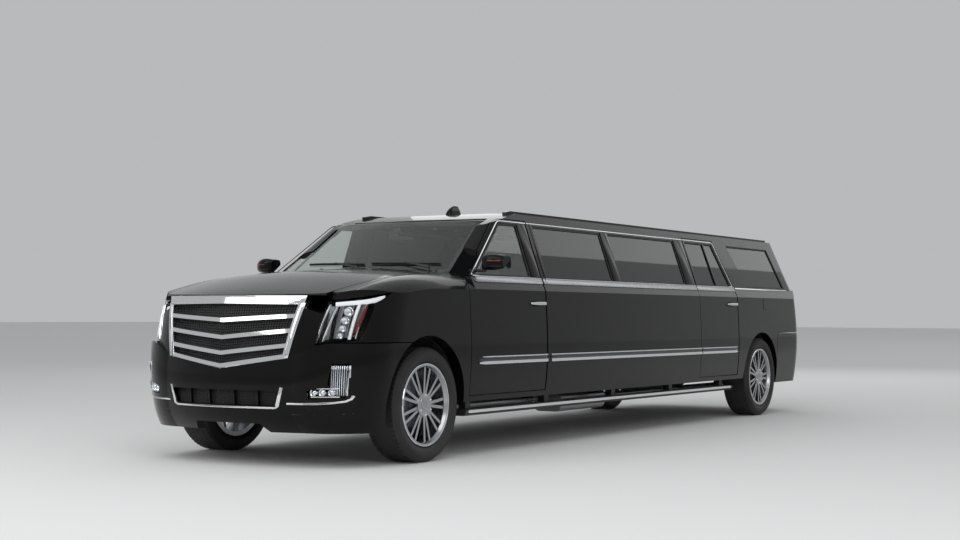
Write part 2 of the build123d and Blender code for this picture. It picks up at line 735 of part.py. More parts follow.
# front suspension, fixed to the frame
with BuildPart() as suspension_side:
    for z, wide in ((kingpin_low_z, 250), (kingpin_high_z, 220)):
        with BuildSketch(Plane.XY.offset(z - arm_thickness / 2)):
            with BuildLine():
                Polyline(
                    (rail_x + 20, fore(-wide / 2)), (kingpin_x, fore(-26)), (kingpin_x, fore(26)),
                    (rail_x + 20, fore(wide / 2)), close=True,
                )
            make_face()
            with Locations([(kingpin_x, fore(0))]):
                Circle(26)
        extrude(amount=arm_thickness)
    with Locations([(rail_x + rail_width / 2 + 11, fore(0), (kingpin_low_z + kingpin_high_z) / 2)]):
        Box(22, 260, kingpin_high_z - kingpin_low_z + 34)
    with Locations([(560, fore(0), kingpin_low_z + 17)]):
        Cylinder(36, 1040 - kingpin_low_z - 17, align=(Align.CENTER, Align.CENTER, Align.MIN))
suspension = cut_away(suspension_side.part, unite(left_rail, *cross_members))
save(mirror_pair(suspension), "front_suspension")

with BuildPart() as knuckle:
    with Locations([(kingpin_x, fore(0), (kingpin_low_z + kingpin_high_z) / 2)]):
        Box(56, 92, kingpin_high_z - kingpin_low_z - arm_thickness - 2 * joint_gap)
    with BuildSketch(Plane.YZ.offset(kingpin_x - 60)):
        with Locations([(fore(0), tyre_radius)]):
            Circle(66)
    extrude(amount=hub_face_x - joint_gap - kingpin_x + 60)
    with Locations([(kingpin_x + 20, fore(175), tyre_radius + 20)]):
        Box(70, 80, 150)
    with Locations([(kingpin_x, fore(100), tyre_radius)]):
        Box(40, 140, 50)
    fillet(knuckle.edges().filter_by(Axis.Z).group_by(Axis.Z)[0], 8)
save(knuckle.part, "knuckle_left")
save(mirrored(knuckle.part), "knuckle_right")

with BuildPart() as rear_axle:
    with BuildSketch(Plane.YZ.offset(-(hub_face_x - joint_gap))):
        with Locations([(aft(0), tyre_radius)]):
            Circle(46)
    extrude(amount=2 * (hub_face_x - joint_gap))
    with Locations([(0, aft(0), tyre_radius)]):
        Sphere(150)
    for side in (1, -1):
        with BuildSketch(Plane.YZ.offset(side * (hub_face_x - joint_gap))):
            with Locations([(aft(0), tyre_radius)]):
                Circle(66)
        extrude(amount=-side * 90)
        with Locations([(side * rail_x, aft(0), (tyre_radius + 505) / 2)]):
            Box(70, 110, 505 - tyre_radius)
    add(drive_shaft(shaft_radius))
save(rear_axle.part, "rear_axle")

# ---------------------------------------------------------------- wheels
with BuildPart() as rim:
    with BuildSketch(Plane.XY):
        with BuildLine():
            Polyline(
                (-rim_width / 2, rim_radius), (-rim_width / 2, 262), (30, 250), (rim_width / 2 - 22, 264),
                (rim_width / 2, 276), (rim_width / 2, rim_radius), (rim_width / 2 - 12, rim_radius),
                (rim_width / 2 - 12, 279), (-rim_width / 2 + 12, 279), (-rim_width / 2 + 12, rim_radius), close=True,
            )
        make_face()
    revolve(axis=Axis.X)
    with BuildSketch(Plane.YZ.offset(hub_face_x - wheel_track / 2)):
        Circle(84)
    extrude(amount=spoke_x + 6 - (hub_face_x - wheel_track / 2))
    with BuildSketch(Plane.YZ.offset(spoke_x)):
        for turn in range(spoke_pairs):
            for lean in (-7.0, 7.0):
                with Locations([Rotation(0, 0, 360 / spoke_pairs * turn + lean) * Location((165, 0))]):
                    Rectangle(210, 21)
    extrude(amount=-44)
    with BuildSketch(Plane.YZ.offset(hub_face_x - wheel_track / 2 - 1)):
        Circle(hub_bore_radius)
        with PolarLocations(lug_circle_radius, lug_count, start_angle=30):
            Circle(stud_hole_radius)
    extrude(amount=spoke_x + 10 - (hub_face_x - wheel_track / 2), mode=Mode.SUBTRACT)

with BuildPart() as tyre:
    with BuildSketch(Plane.XY):
        with BuildLine():
            bead = rim_width / 2 - 12.3
            Line((-bead, 279.3), (bead, 279.3))
            for side in (1, -1):
                Line((side * bead, 279.3), (side * bead, rim_radius + 2))
                ThreePointArc(
                    (side * bead, rim_radius + 2), (side * tyre_width / 2, 350), (side * (tyre_width / 2 - 16), 394)
                )
                Line((side * (tyre_width / 2 - 16), 394), (side * (tyre_width / 2 - 32), tyre_radius - 4))
            ThreePointArc(
                (-(tyre_width / 2 - 32), tyre_radius - 4), (0, tyre_radius), (tyre_width / 2 - 32, tyre_radius - 4)
            )
        make_face()
    revolve(axis=Axis.X)

for end, y in (("front", front_axle_y), ("rear", rear_axle_y)):
    for side, sign in (("left", 1), ("right", -1)):
        for block, what in ((rim.part, "rim"), (tyre.part, "tyre")):
            turned = block if sign > 0 else mirrored(block)
            save(turned.moved(Location((sign * wheel_track / 2, y, tyre_radius))), f"{what}_{end}_{side}")

# ---------------------------------------------------------------- outside fittings
with BuildPart() as running_board:
    with BuildSketch(Plane.XZ.offset(-fore(500))):
        with BuildLine():
            Polyline((862, 300), (990, 300), (1012, 318), (1012, 342), (862, 342), close=True)
        make_face()
    extrude(amount=-(aft(-790) - fore(500)))
    for share in range(5):
        y = fore(640) + (aft(-930) - fore(640)) * share / 4
        with Locations([(912, y, (342 + sill_z) / 2)]):
            Box(60, 70, sill_z - 342)
save(mirror_pair(running_board.part), "running_boards")

rail_strip = box_between((roof_rail_x - 18, fore(1560), 1700), (roof_rail_x + 18, aft(860), 2000))
save(mirror_pair(cut_away(intersect_all(rail_strip, roof_cap(-22)), roof_cap(0))), "roof_rails")

with BuildPart() as fin:
    for z, y, long, wide in ((1850, 1890, 190, 62), (1905, 1890, 180, 56), (1972, 1918, 60, 10)):
        with BuildSketch(Plane.XY.offset(z)):
            with Locations([(0, fore(y))]):
                RectangleRounded(wide, long, wide * 0.4)
    loft()
    add(roof_cap(0), mode=Mode.SUBTRACT)
save(fin.part, "roof_antenna")

with BuildPart() as fuel_tank:
    with Locations([(182, aft(-1090), 415)]):
        Box(220, 800, 230)
    fillet(fuel_tank.edges().filter_by(Axis.Y), 40)
save(fuel_tank.part, "fuel_tank")

with BuildPart() as exhaust:
    with Locations([(640, (fore(2390) + fore(3200)) / 2, 310)]):
        Box(260, 810, 165)
    fillet(exhaust.edges().filter_by(Axis.Y), 50)
    with BuildSketch(Plane.XZ.offset(-fore(1000))):
        with Locations([(500 - 20, 330)]):
            Circle(32)
    extrude(amount=-(fore(2400) - fore(1000)))
    with BuildSketch(Plane.XZ.offset(-fore(3190))):
        with Locations([(540, 310)]):
            Circle(32)
    extrude(amount=-(aft(1150) - fore(3190)))
    for y in (fore(2500), fore(3100)):
        with Locations([(640, y, 450)]):
            Box(60, 30, 2 * (floor_low_z - 450))
    with Locations([(540, aft(1120), 440)]):
        Box(30, 30, 240)
save(exhaust.part, "exhaust")

# ---------------------------------------------------------------- cabin
with BuildPart() as dashboard:
    with BuildSketch(Plane.YZ.offset(-880)):
        with BuildLine():
            Polyline(
                (fore(590), 900), (fore(590), 1250), (fore(700), 1275), (fore(980), 1235), (fore(1010), 1150),
                (fore(930), 1060), (fore(860), 900), close=True,
            )
        make_face()
    extrude(amount=1760)
    with Locations([(0, fore(960), 770)]):
        Box(280, 640, 420)
    with Locations([Location((driver_x, fore(1120), 1095), (-60, 0, 0))]):
        Torus(182, 15)
        Box(350, 28, 18)
        Cylinder(50, 36)
        Cylinder(26, 280, align=(Align.CENTER, Align.CENTER, Align.MAX))
save(dashboard.part, "dashboard")


def seat_block(x, y, wide, facing, floor_z, back_z=1290):
    """Seat base and leaning back as one closed solid; facing is 1 to look forward."""
    with BuildPart() as block:
        with BuildSketch(Plane.YZ.offset(x - wide / 2)):
            with BuildLine():
                FilletPolyline(
                    (y - 260 * facing, floor_z), (y - 290 * facing, floor_z + 320), (y + 140 * facing, floor_z + 290),
                    (y + 260 * facing, back_z), (y + 350 * facing, back_z - 10), (y + 290 * facing, floor_z),
                    radius=28, close=True,
                )
            make_face()
        extrude(amount=wide)
    return block.part


floor_top = floor_low_z + floor_thickness
front_seats = [seat_block(side * driver_x, fore(1460), 520, 1, floor_top) for side in (1, -1)]
save(unite(*front_seats), "front_seats")

bench_front, bench_rear = fore(2250), aft(-1750)
with BuildPart() as side_bench:
    with BuildSketch(Plane.XZ.offset(-bench_front)):
        with BuildLine():
            FilletPolyline(
                (-860, floor_top), (-330, floor_top), (-310, floor_top + 340), (-690, floor_top + 310),
                (-760, 1290), (-850, 1280), radius=28, close=True,
            )
        make_face()
    extrude(amount=-(bench_rear - bench_front))
rear_bench = seat_block(0, aft(-30), 1140, 1, floor_high_z + floor_thickness)
save(unite(side_bench.part, rear_bench), "lounge_seats")

with BuildPart() as bar_cabinet:
    with Locations([(690, (fore(2700) + fore(3900)) / 2, floor_top + 210)]):
        Box(330, 1200, 420)
    with Locations([(690, (fore(2700) + fore(3900)) / 2, floor_top + 432)]):
        Box(370, 1240, 24)
    fillet(bar_cabinet.edges().filter_by(Axis.Z).group_by(Axis.X)[0], 10)
save(bar_cabinet.part, "bar_cabinet")
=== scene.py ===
from math import cos, pi, radians, sin

import bpy
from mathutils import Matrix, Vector


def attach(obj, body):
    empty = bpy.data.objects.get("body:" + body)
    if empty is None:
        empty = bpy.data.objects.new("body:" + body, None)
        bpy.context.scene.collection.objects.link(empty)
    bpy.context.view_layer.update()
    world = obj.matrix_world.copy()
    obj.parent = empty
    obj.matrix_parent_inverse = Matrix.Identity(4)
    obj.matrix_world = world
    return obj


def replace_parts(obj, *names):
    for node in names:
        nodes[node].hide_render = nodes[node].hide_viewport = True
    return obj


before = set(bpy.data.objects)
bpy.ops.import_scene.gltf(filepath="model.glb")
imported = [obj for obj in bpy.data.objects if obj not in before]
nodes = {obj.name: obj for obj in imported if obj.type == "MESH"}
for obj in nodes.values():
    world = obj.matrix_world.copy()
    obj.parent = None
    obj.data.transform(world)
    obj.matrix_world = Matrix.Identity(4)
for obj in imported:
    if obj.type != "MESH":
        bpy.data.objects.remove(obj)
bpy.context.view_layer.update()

# ---------------------------------------------------------------- places, in metres
FRONT_AXLE = -3.3125
REAR_AXLE = 3.0375
HUB_Z = 0.407
TRACK_HALF = 0.8725
SIDES = (("left", 1), ("right", -1))
ALONG_X, ALONG_Y, ALONG_Z = Vector((1, 0, 0)), Vector((0, 1, 0)), Vector((0, 0, 1))
ENDS = (("front", FRONT_AXLE), ("rear", REAR_AXLE))


def fore(mm):
    """Y of a place so many millimetres behind the front axle."""
    return FRONT_AXLE + mm / 1000


# ---------------------------------------------------------------- shader groups
def new_group(name, inputs, outputs):
    group = bpy.data.node_groups.new(name, "ShaderNodeTree")
    for label, kind, value in inputs:
        socket = group.interface.new_socket(label, in_out="INPUT", socket_type=kind)
        socket.default_value = value
    for label, kind in outputs:
        group.interface.new_socket(label, in_out="OUTPUT", socket_type=kind)
    return group, group.nodes.new("NodeGroupInput"), group.nodes.new("NodeGroupOutput")


def cloud_group():
    """Soft wandering of a value between two ends, over the surface."""
    group, given, result = new_group(
        "soft_wander",
        [("Scale", "NodeSocketFloat", 3.0), ("Low", "NodeSocketFloat", 0.1), ("High", "NodeSocketFloat", 0.2)],
        [("Value", "NodeSocketFloat")],
    )
    place = group.nodes.new("ShaderNodeTexCoord")
    noise = group.nodes.new("ShaderNodeTexNoise")
    noise.inputs["Detail"].default_value = 4.0
    spread = group.nodes.new("ShaderNodeMapRange")
    spread.inputs["From Min"].default_value = 0.3
    spread.inputs["From Max"].default_value = 0.7
    link = group.links.new
    link(place.outputs["Object"], noise.inputs["Vector"])
    link(given.outputs["Scale"], noise.inputs["Scale"])
    link(noise.outputs["Fac"], spread.inputs["Value"])
    link(given.outputs["Low"], spread.inputs["To Min"])
    link(given.outputs["High"], spread.inputs["To Max"])
    link(spread.outputs["Result"], result.inputs["Value"])
    return group


def grain_group():
    """Fine raised grain, for a bump."""
    group, given, result = new_group(
        "fine_grain", [("Scale", "NodeSocketFloat", 900.0)], [("Height", "NodeSocketFloat")]
    )
    place = group.nodes.new("ShaderNodeTexCoord")
    cells = group.nodes.new("ShaderNodeTexVoronoi")
    group.links.new(place.outputs["Object"], cells.inputs["Vector"])
    group.links.new(given.outputs["Scale"], cells.inputs["Scale"])
    group.links.new(cells.outputs["Distance"], result.inputs["Height"])
    return group


def road_film_group():
    """A thin film of road dust that gathers low on the car."""
    group, given, result = new_group(
        "road_film",
        [("Clean", "NodeSocketColor", (0.01, 0.01, 0.01, 1)), ("Dust", "NodeSocketColor", (0.12, 0.11, 0.1, 1)),
         ("Amount", "NodeSocketFloat", 0.1)],
        [("Color", "NodeSocketColor")],
    )
    place = group.nodes.new("ShaderNodeTexCoord")
    split = group.nodes.new("ShaderNodeSeparateXYZ")
    low = group.nodes.new("ShaderNodeMapRange")
    low.inputs["From Min"].default_value = 0.75
    low.inputs["From Max"].default_value = 0.2
    noise = group.nodes.new("ShaderNodeTexNoise")
    noise.inputs["Scale"].default_value = 9.0
    noise.inputs["Detail"].default_value = 6.0
    share = group.nodes.new("ShaderNodeMath")
    share.operation = "MULTIPLY"
    part = group.nodes.new("ShaderNodeMath")
    part.operation = "MULTIPLY"
    mix = group.nodes.new("ShaderNodeMix")
    mix.data_type = "RGBA"
    link = group.links.new
    link(place.outputs["Object"], split.inputs["Vector"])
    link(place.outputs["Object"], noise.inputs["Vector"])
    link(split.outputs["Z"], low.inputs["Value"])
    link(low.outputs["Result"], share.inputs[0])
    link(noise.outputs["Fac"], share.inputs[1])
    link(share.outputs["Value"], part.inputs[0])
    link(given.outputs["Amount"], part.inputs[1])
    link(part.outputs["Value"], mix.inputs["Factor"])
    link(given.outputs["Clean"], mix.inputs["A"])
    link(given.outputs["Dust"], mix.inputs["B"])
    link(mix.outputs["Result"], result.inputs["Color"])
    return group


WANDER = cloud_group()
GRAIN = grain_group()
FILM = road_film_group()
WANDER_SCALE = 3.0  # patches of a changing roughness to a metre
COAT_ROUGH = 0.03
GRAIN_DEPTH = 0.0006


# ---------------------------------------------------------------- finishes
def finish(name, color, rough, wander=0.0, metallic=0.0, coat=0.0, grain=0.0, grain_scale=900.0, dust=0.0,
           clear=0.0, ior=1.5, sheen=0.0, coat_ior=1.5, level=0.5):
    """A Principled finish with roughness that wanders, and grain and dust where asked."""
    material = bpy.data.materials.new(name)
    material.use_nodes = True
    tree = material.node_tree
    shader = tree.nodes["Principled BSDF"]
    shader.inputs["Base Color"].default_value = (*color, 1)
    shader.inputs["Roughness"].default_value = rough
    shader.inputs["Metallic"].default_value = metallic
    shader.inputs["IOR"].default_value = ior
    shader.inputs["Transmission Weight"].default_value = clear
    shader.inputs["Coat Weight"].default_value = coat
    shader.inputs["Coat Roughness"].default_value = COAT_ROUGH
    shader.inputs["Coat IOR"].default_value = coat_ior
    shader.inputs["Specular IOR Level"].default_value = level
    shader.inputs["Sheen Weight"].default_value = sheen
    if wander:
        group = tree.nodes.new("ShaderNodeGroup")
        group.node_tree = WANDER
        group.inputs["Scale"].default_value = WANDER_SCALE
        group.inputs["Low"].default_value = max(0.0, rough - wander)
        group.inputs["High"].default_value = rough + wander
        tree.links.new(group.outputs["Value"], shader.inputs["Roughness"])
    if grain:
        group = tree.nodes.new("ShaderNodeGroup")
        group.node_tree = GRAIN
        group.inputs["Scale"].default_value = grain_scale
        bump = tree.nodes.new("ShaderNodeBump")
        bump.inputs["Strength"].default_value = grain
        bump.inputs["Distance"].default_value = GRAIN_DEPTH
        tree.links.new(group.outputs["Height"], bump.inputs["Height"])
        tree.links.new(bump.outputs["Normal"], shader.inputs["Normal"])
    if dust:
        group = tree.nodes.new("ShaderNodeGroup")
        group.node_tree = FILM
        group.inputs["Clean"].default_value = (*color, 1)
        group.inputs["Amount"].default_value = dust
        tree.links.new(group.outputs["Color"], shader.inputs["Base Color"])
    return material


PAINT = finish("gloss_black_paint", (0.0025, 0.0025, 0.0028), 0.30, 0.03, coat=1.0, dust=0.04, coat_ior=1.22,
    level=0.05)
TRIM_BLACK = finish("piano_black_trim", (0.004, 0.004, 0.004), 0.14, 0.03, level=0.25)
SATIN = finish("satin_chassis_black", (0.018, 0.018, 0.019), 0.5, 0.1, dust=0.5)
CHROME = finish("bright_chrome", (0.80, 0.81, 0.82), 0.06, 0.02, metallic=1.0)
BRUSHED = finish("satin_chrome", (0.40, 0.41, 0.42), 0.26, 0.05, metallic=1.0)
DARK_CHROME = finish("dark_chrome", (0.10, 0.10, 0.105), 0.22, 0.05, metallic=1.0)
ALLOY = finish("machined_alloy", (0.46, 0.47, 0.49), 0.26, 0.06, metallic=1.0, dust=0.10)
RUBBER = finish("tyre_rubber", (0.008, 0.008, 0.0085), 0.62, 0.08, grain=0.25, grain_scale=700, dust=0.16)
SEAL = finish("window_seal", (0.01, 0.01, 0.01), 0.55, 0.05)
PLASTIC = finish("grained_black_plastic", (0.016, 0.016, 0.017), 0.45, 0.08, grain=0.5)
CLEAR = finish("clear_glass", (0.80, 0.86, 0.83), 0.01, clear=1.0, ior=1.45)
TINTED = finish("privacy_glass", (0.02, 0.022, 0.024), 0.015, clear=0.75, ior=1.5)
LENS = finish("lamp_lens", (0.97, 0.98, 0.99), 0.01, clear=1.0, ior=1.12)
RED_LENS = finish("red_lens", (0.16, 0.003, 0.004), 0.08, clear=0.35, ior=1.45)
AMBER = finish("amber_lens", (0.22, 0.025, 0.008), 0.12, clear=0.3)
STEEL = finish("bare_steel", (0.34, 0.34, 0.35), 0.35, 0.1, metallic=1.0)
CAST = finish("cast_metal", (0.22, 0.22, 0.23), 0.55, 0.1, metallic=0.7, grain=0.5, grain_scale=300)
CARPET = finish("dark_carpet", (0.018, 0.018, 0.02), 0.95, grain=1.0, grain_scale=500, sheen=0.4)
LEATHER = finish("black_leather", (0.022, 0.020, 0.020), 0.42, 0.06, grain=0.7, grain_scale=420)
HEADLINER = finish("pale_headliner", (0.42, 0.41, 0.38), 0.95, grain=0.6, grain_scale=600)
WALNUT = finish("lacquered_walnut", (0.10, 0.045, 0.022), 0.18, 0.04, coat=0.8)
MIRROR = finish("mirror_silver", (0.86, 0.87, 0.88), 0.015, metallic=1.0)
GLOW_WHITE = finish("lamp_light_guide", (0.90, 0.91, 0.93), 0.25, 0.04, ior=1.3)
LAMP_SILVER = finish("lamp_tub_silver", (0.66, 0.68, 0.70), 0.38, 0.06, metallic=0.6)
TAIL_GLOW = finish("tail_light_guide", (0.50, 0.012, 0.014), 0.22, 0.04, ior=1.4)
LAMP_GLOW = finish("lamp_reflector", (0.85, 0.87, 0.9), 0.12, metallic=1.0)

NODE_FINISH = {
    "ladder_frame": SATIN, "floor_pan": CARPET, "inner_sills": SATIN, "engine_bay": SATIN, "cowl_frame": PAINT,
    "stretch_panels": PAINT, "rear_quarters": PAINT, "roof_panel": PAINT, "front_wings": PAINT,
    "front_bumper": PAINT, "grille": CHROME, "headlamps": LENS, "fog_lamps": LENS, "rear_bumper": PAINT,
    "tail_lamps": RED_LENS, "windscreen": CLEAR, "side_glass": TINTED, "running_boards": PLASTIC,
    "roof_rails": TRIM_BLACK, "roof_antenna": PAINT, "engine_block": CAST, "front_suspension": SATIN,
    "rear_axle": SATIN, "fuel_tank": PLASTIC, "exhaust": STEEL, "dashboard": PLASTIC, "front_seats": LEATHER,
    "lounge_seats": LEATHER, "bar_cabinet": WALNUT, "tailgate": PAINT, "tailgate_glass": TINTED, "hood": PAINT,
}
for side, _ in SIDES:
    NODE_FINISH |= {
        f"knuckle_{side}": STEEL, f"front_door_{side}": PAINT, f"rear_door_{side}": PAINT,
        f"front_door_glass_{side}": CLEAR, f"rear_door_glass_{side}": TINTED, f"door_mirror_{side}": PAINT,
    }
    for end, _ in ENDS:
        NODE_FINISH |= {f"rim_{end}_{side}": ALLOY, f"tyre_{end}_{side}": RUBBER}
for name, material in NODE_FINISH.items():
    for holder in nodes[name].material_slots:
        holder.material = material


# ---------------------------------------------------------------- modelling helpers
def deselect():
    if bpy.context.object and bpy.context.object.mode != "OBJECT":
        bpy.ops.object.mode_set(mode="OBJECT")
    bpy.ops.object.select_all(action="DESELECT")


def choose(piece):
    """Makes a piece the only selected one."""
    deselect()
    piece.select_set(True)
    bpy.context.view_layer.objects.active = piece


def pick(piece, test):
    """Goes into edit mode with the faces whose centre and normal pass the test selected."""
    choose(piece)
    bpy.ops.object.mode_set(mode="EDIT")
    bpy.ops.mesh.select_mode(type="FACE")
    bpy.ops.mesh.select_all(action="DESELECT")
    bpy.ops.object.mode_set(mode="OBJECT")
    for face in piece.data.polygons:
        face.select = bool(test(face.center, face.normal))
    bpy.ops.object.mode_set(mode="EDIT")


def modify(piece, kind, **settings):
    """Adds a modifier and applies it."""
    choose(piece)
    modifier = piece.modifiers.new(kind.lower(), kind)
    for key, value in settings.items():
        setattr(modifier, key, value)
    bpy.ops.object.modifier_apply(modifier=modifier.name)


def done(piece, name, material, body, bevel=0.0, segments=2, smooth=35):
    """Rounds the edges, freezes the place into the mesh, gives the finish and the body it rides on."""
    choose(piece)
    bpy.ops.object.transform_apply(location=True, rotation=True, scale=True)
    if bevel:
        modify(piece, "BEVEL", width=bevel, segments=segments, limit_method="ANGLE", angle_limit=radians(35))
    choose(piece)
    bpy.ops.object.shade_smooth_by_angle(angle=radians(smooth))
    piece.name = piece.data.name = name
    piece.data.materials.clear()
    piece.data.materials.append(material)
    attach(piece, body)
    return piece


def joined(pieces):
    deselect()
    for piece in pieces:
        piece.select_set(True)
    bpy.context.view_layer.objects.active = pieces[0]
    if len(pieces) > 1:
        bpy.ops.object.join()
    return bpy.context.object


def outward():
    """In edit mode: merges doubles and turns all faces outwards."""
    bpy.ops.mesh.select_all(action="SELECT")
    bpy.ops.mesh.remove_doubles(threshold=0.00001)
    bpy.ops.mesh.normals_make_consistent(inside=False)


def chain(points):
    """Starts a piece as a row of vertices drawn out from point to point, all of them selected."""
    deselect()
    bpy.ops.mesh.primitive_plane_add(size=0.01, location=points[0])
    bpy.ops.object.mode_set(mode="EDIT")
    bpy.ops.mesh.select_mode(type="VERT")
    bpy.ops.mesh.select_all(action="SELECT")
    bpy.ops.mesh.merge(type="CENTER")
    for here, there in zip(points, points[1:]):
        bpy.ops.mesh.extrude_region_move(TRANSFORM_OT_translate={"value": Vector(there) - Vector(here)})
    bpy.ops.mesh.select_all(action="SELECT")
    return bpy.context.object


def plate(points, push):
    """Closed plate: an outline filled with a face, then pushed out to its thickness."""
    piece = chain(points)
    bpy.ops.mesh.edge_face_add()
    bpy.ops.mesh.select_all(action="SELECT")
    bpy.ops.mesh.extrude_region_move(TRANSFORM_OT_translate={"value": push})
    outward()
    bpy.ops.object.mode_set(mode="OBJECT")
    return piece


def ring(points, wide, push):
    """Closed frame: an outline inset by its width, opened in the middle and pushed out."""
    piece = chain(points)
    bpy.ops.mesh.edge_face_add()
    bpy.ops.mesh.select_mode(type="FACE")
    bpy.ops.mesh.select_all(action="SELECT")
    bpy.ops.mesh.inset(thickness=wide)
    bpy.ops.mesh.delete(type="FACE")
    bpy.ops.mesh.select_all(action="SELECT")
    bpy.ops.mesh.extrude_region_move(TRANSFORM_OT_translate={"value": push})
    outward()
    bpy.ops.object.mode_set(mode="OBJECT")
    return piece


def strip(path, across, through, sizes=None):
    """Bar drawn out along a path from a four-cornered end; across and through are that end's edges."""
    a, b, start = Vector(across) / 2, Vector(through) / 2, Vector(path[0])
    sizes = sizes or [1.0] * len(path)
    piece = chain([start + (a * i + b * j) * sizes[0] for i, j in ((-1, -1), (1, -1), (1, 1), (-1, 1))])
    bpy.ops.mesh.edge_face_add()
    bpy.ops.mesh.select_all(action="SELECT")
    for here, there, was, now in zip(path, path[1:], sizes, sizes[1:]):
        bpy.ops.mesh.extrude_region_move(TRANSFORM_OT_translate={"value": Vector(there) - Vector(here)})
        if now != was:
            bpy.ops.transform.resize(value=(now / was,) * 3, center_override=there)
    outward()
    bpy.ops.object.mode_set(mode="OBJECT")
    return piece


def turned(profile, centre, axis, steps=48):
    """Piece turned about an axis from a profile of points; the profile is closed or ends on the axis."""
    piece = chain(profile)
    bpy.ops.mesh.spin(steps=steps, angle=2 * pi, center=centre, axis=axis)
    outward()
    bpy.ops.object.mode_set(mode="OBJECT")
    return piece


def lathe(centre, axis, profile, steps, way=1):
    """Piece turned about an axis through a place, from pairs of (distance along the axis, radius)."""
    centre = Vector(centre)
    arm = ALONG_X if axis == ALONG_Z else ALONG_Z
    points = [centre + axis * (way * along) + arm * radius for along, radius in profile]
    return turned(points, tuple(centre), axis, steps)


def wheel_of(piece, count, centre, axis):
    """Repeats a piece evenly round an axis."""
    choose(piece)
    bpy.ops.object.mode_set(mode="EDIT")
    bpy.ops.mesh.select_all(action="SELECT")
    bpy.ops.mesh.spin(steps=count - 1, dupli=True, angle=2 * pi * (count - 1) / count, center=centre, axis=axis)
    outward()
    bpy.ops.object.mode_set(mode="OBJECT")
    return piece


def tube(path, radius, sides=10):
    """Round bar or hose bent along a path, from a bevelled curve made solid."""
    deselect()
    curve = bpy.data.curves.new("run", "CURVE")
    curve.dimensions = "3D"
    curve.bevel_depth = radius
    curve.bevel_resolution = max(1, sides // 4)
    curve.use_fill_caps = True
    spline = curve.splines.new("NURBS")
    spline.points.add(len(path) - 1)
    for point, place in zip(spline.points, path):
        point.co = (*place, 1)
    spline.order_u = 3
    spline.use_endpoint_u = True
    piece = bpy.data.objects.new("run", curve)
    bpy.context.collection.objects.link(piece)
    choose(piece)
    bpy.ops.object.convert(target="MESH")
    bpy.ops.object.mode_set(mode="EDIT")
    outward()
    bpy.ops.object.mode_set(mode="OBJECT")
    return bpy.context.object


def block(place, size, turn=(0, 0, 0)):
    deselect()
    bpy.ops.mesh.primitive_cube_add(size=1, location=place, rotation=turn)
    piece = bpy.context.object
    piece.scale = size
    bpy.ops.object.transform_apply(location=False, rotation=False, scale=True)
    return piece


def grid(across, up, place):
    """Sheet of so many faces across and up, laid on the surface that place(u, v) gives from 0 to 1."""
    deselect()
    bpy.ops.mesh.primitive_grid_add(x_subdivisions=across, y_subdivisions=up, size=1, location=(0, 0, 0))
    piece = bpy.context.object
    for vertex in piece.data.vertices:
        vertex.co = place(vertex.co.x + 0.5, vertex.co.y + 0.5)
    return piece


def spread(a, b, count):
    return [a + (b - a) * i / (count - 1) for i in range(count)]


def eased(points, radius, steps=4):
    """A path with its corners rounded."""
    points = [Vector(p) for p in points]
    path = [points[0]]
    for before, corner, after in zip(points, points[1:], points[2:]):
        start = corner + (before - corner).normalized() * radius
        end = corner + (after - corner).normalized() * radius
        for i in range(steps + 1):
            t = i / steps
            path.append(start * (1 - t) ** 2 + corner * 2 * t * (1 - t) + end * t**2)
    return [*path, points[-1]]


def ribbon(path, wide):
    """Outline of a band of even width along a flat path."""
    points = [Vector(p) for p in path]
    runs = [(b - a).normalized() for a, b in zip(points, points[1:])]
    left, right = [], []
    for i, point in enumerate(points):
        first, last = runs[max(i - 1, 0)], runs[min(i, len(runs) - 1)]
        mean = (first + last).normalized()
        side = Vector((-mean.y, mean.x)) * (wide / 2 / max(0.3, mean.dot(first)))
        left.append(point + side)
        right.append(point - side)
    return left + right[::-1]


def finer(path, step):
    """A path with more points on its long runs."""
    fine = [Vector(path[0])]
    for a, b in zip(path, path[1:]):
        a, b = Vector(a), Vector(b)
        parts = max(1, int((b - a).length / step))
        fine += [a + (b - a) * i / parts for i in range(1, parts + 1)]
    return fine


# ---------------------------------------------------------------- finding the body's surfaces
LEAN = radians(18.86)  # of the glasshouse flank


def lean_way(way):
    """Outward normal of the glasshouse flank."""
    return Vector((way * cos(LEAN), 0, sin(LEAN)))


def glasshouse(way, y, z, proud=0.0):
    """Place on the glasshouse flank."""
    return Vector((way * (0.993 - (z - 1.25) * 0.3415), y, z)) + lean_way(way) * proud


def from_side(name, y, z, way=1, proud=0.0):
    """Place on a panel's outer face, seen from the car's side."""
    for dz in (0, 0.004, -0.004, 0.01, -0.01):
        hit, place, _, _ = nodes[name].ray_cast(Vector((1.4 * way, y, z + dz)), Vector((-way, 0, 0)))
        if hit:
            return Vector((place.x + way * proud, y, z))
    raise ValueError(f"{name} isn't at {y:.3f}, {z:.3f}")


def from_end(name, x, z, front=True, proud=0.0):
    """Place on a panel's outer face, seen from the car's front or rear."""
    way = 1 if front else -1
    for dx, dz in ((0, 0), (0, 0.006), (0, -0.006), (0.006, 0), (-0.006, 0), (0, 0.014), (0, -0.014), (0.014, 0),
        (-0.014, 0)):
        hit, place, _, _ = nodes[name].ray_cast(Vector((x + dx, -4.8 * way, z + dz)), Vector((0, way, 0)))
        if hit:
            return Vector((x, place.y - way * proud, z))
    raise ValueError(f"{name} isn't at {x:.3f}, {z:.3f}")


def from_top(name, x, y, proud=0.0):
    """Place on a panel's outer face, seen from above."""
    hit, place, _, _ = nodes[name].ray_cast(Vector((x, y, 2.3)), Vector((0, 0, -1)))
    if not hit:
        raise ValueError(f"{name} isn't under {x:.3f}, {y:.3f}")
    return place + Vector((0, 0, proud))


def on_glasshouse(outline, way, low, high):
    """Plate on the glasshouse flank over an outline of (mm behind the front axle, height in mm)."""
    points = [glasshouse(way, fore(y), z / 1000, low) for y, z in outline]
    return plate(points, lean_way(way) * (high - low))


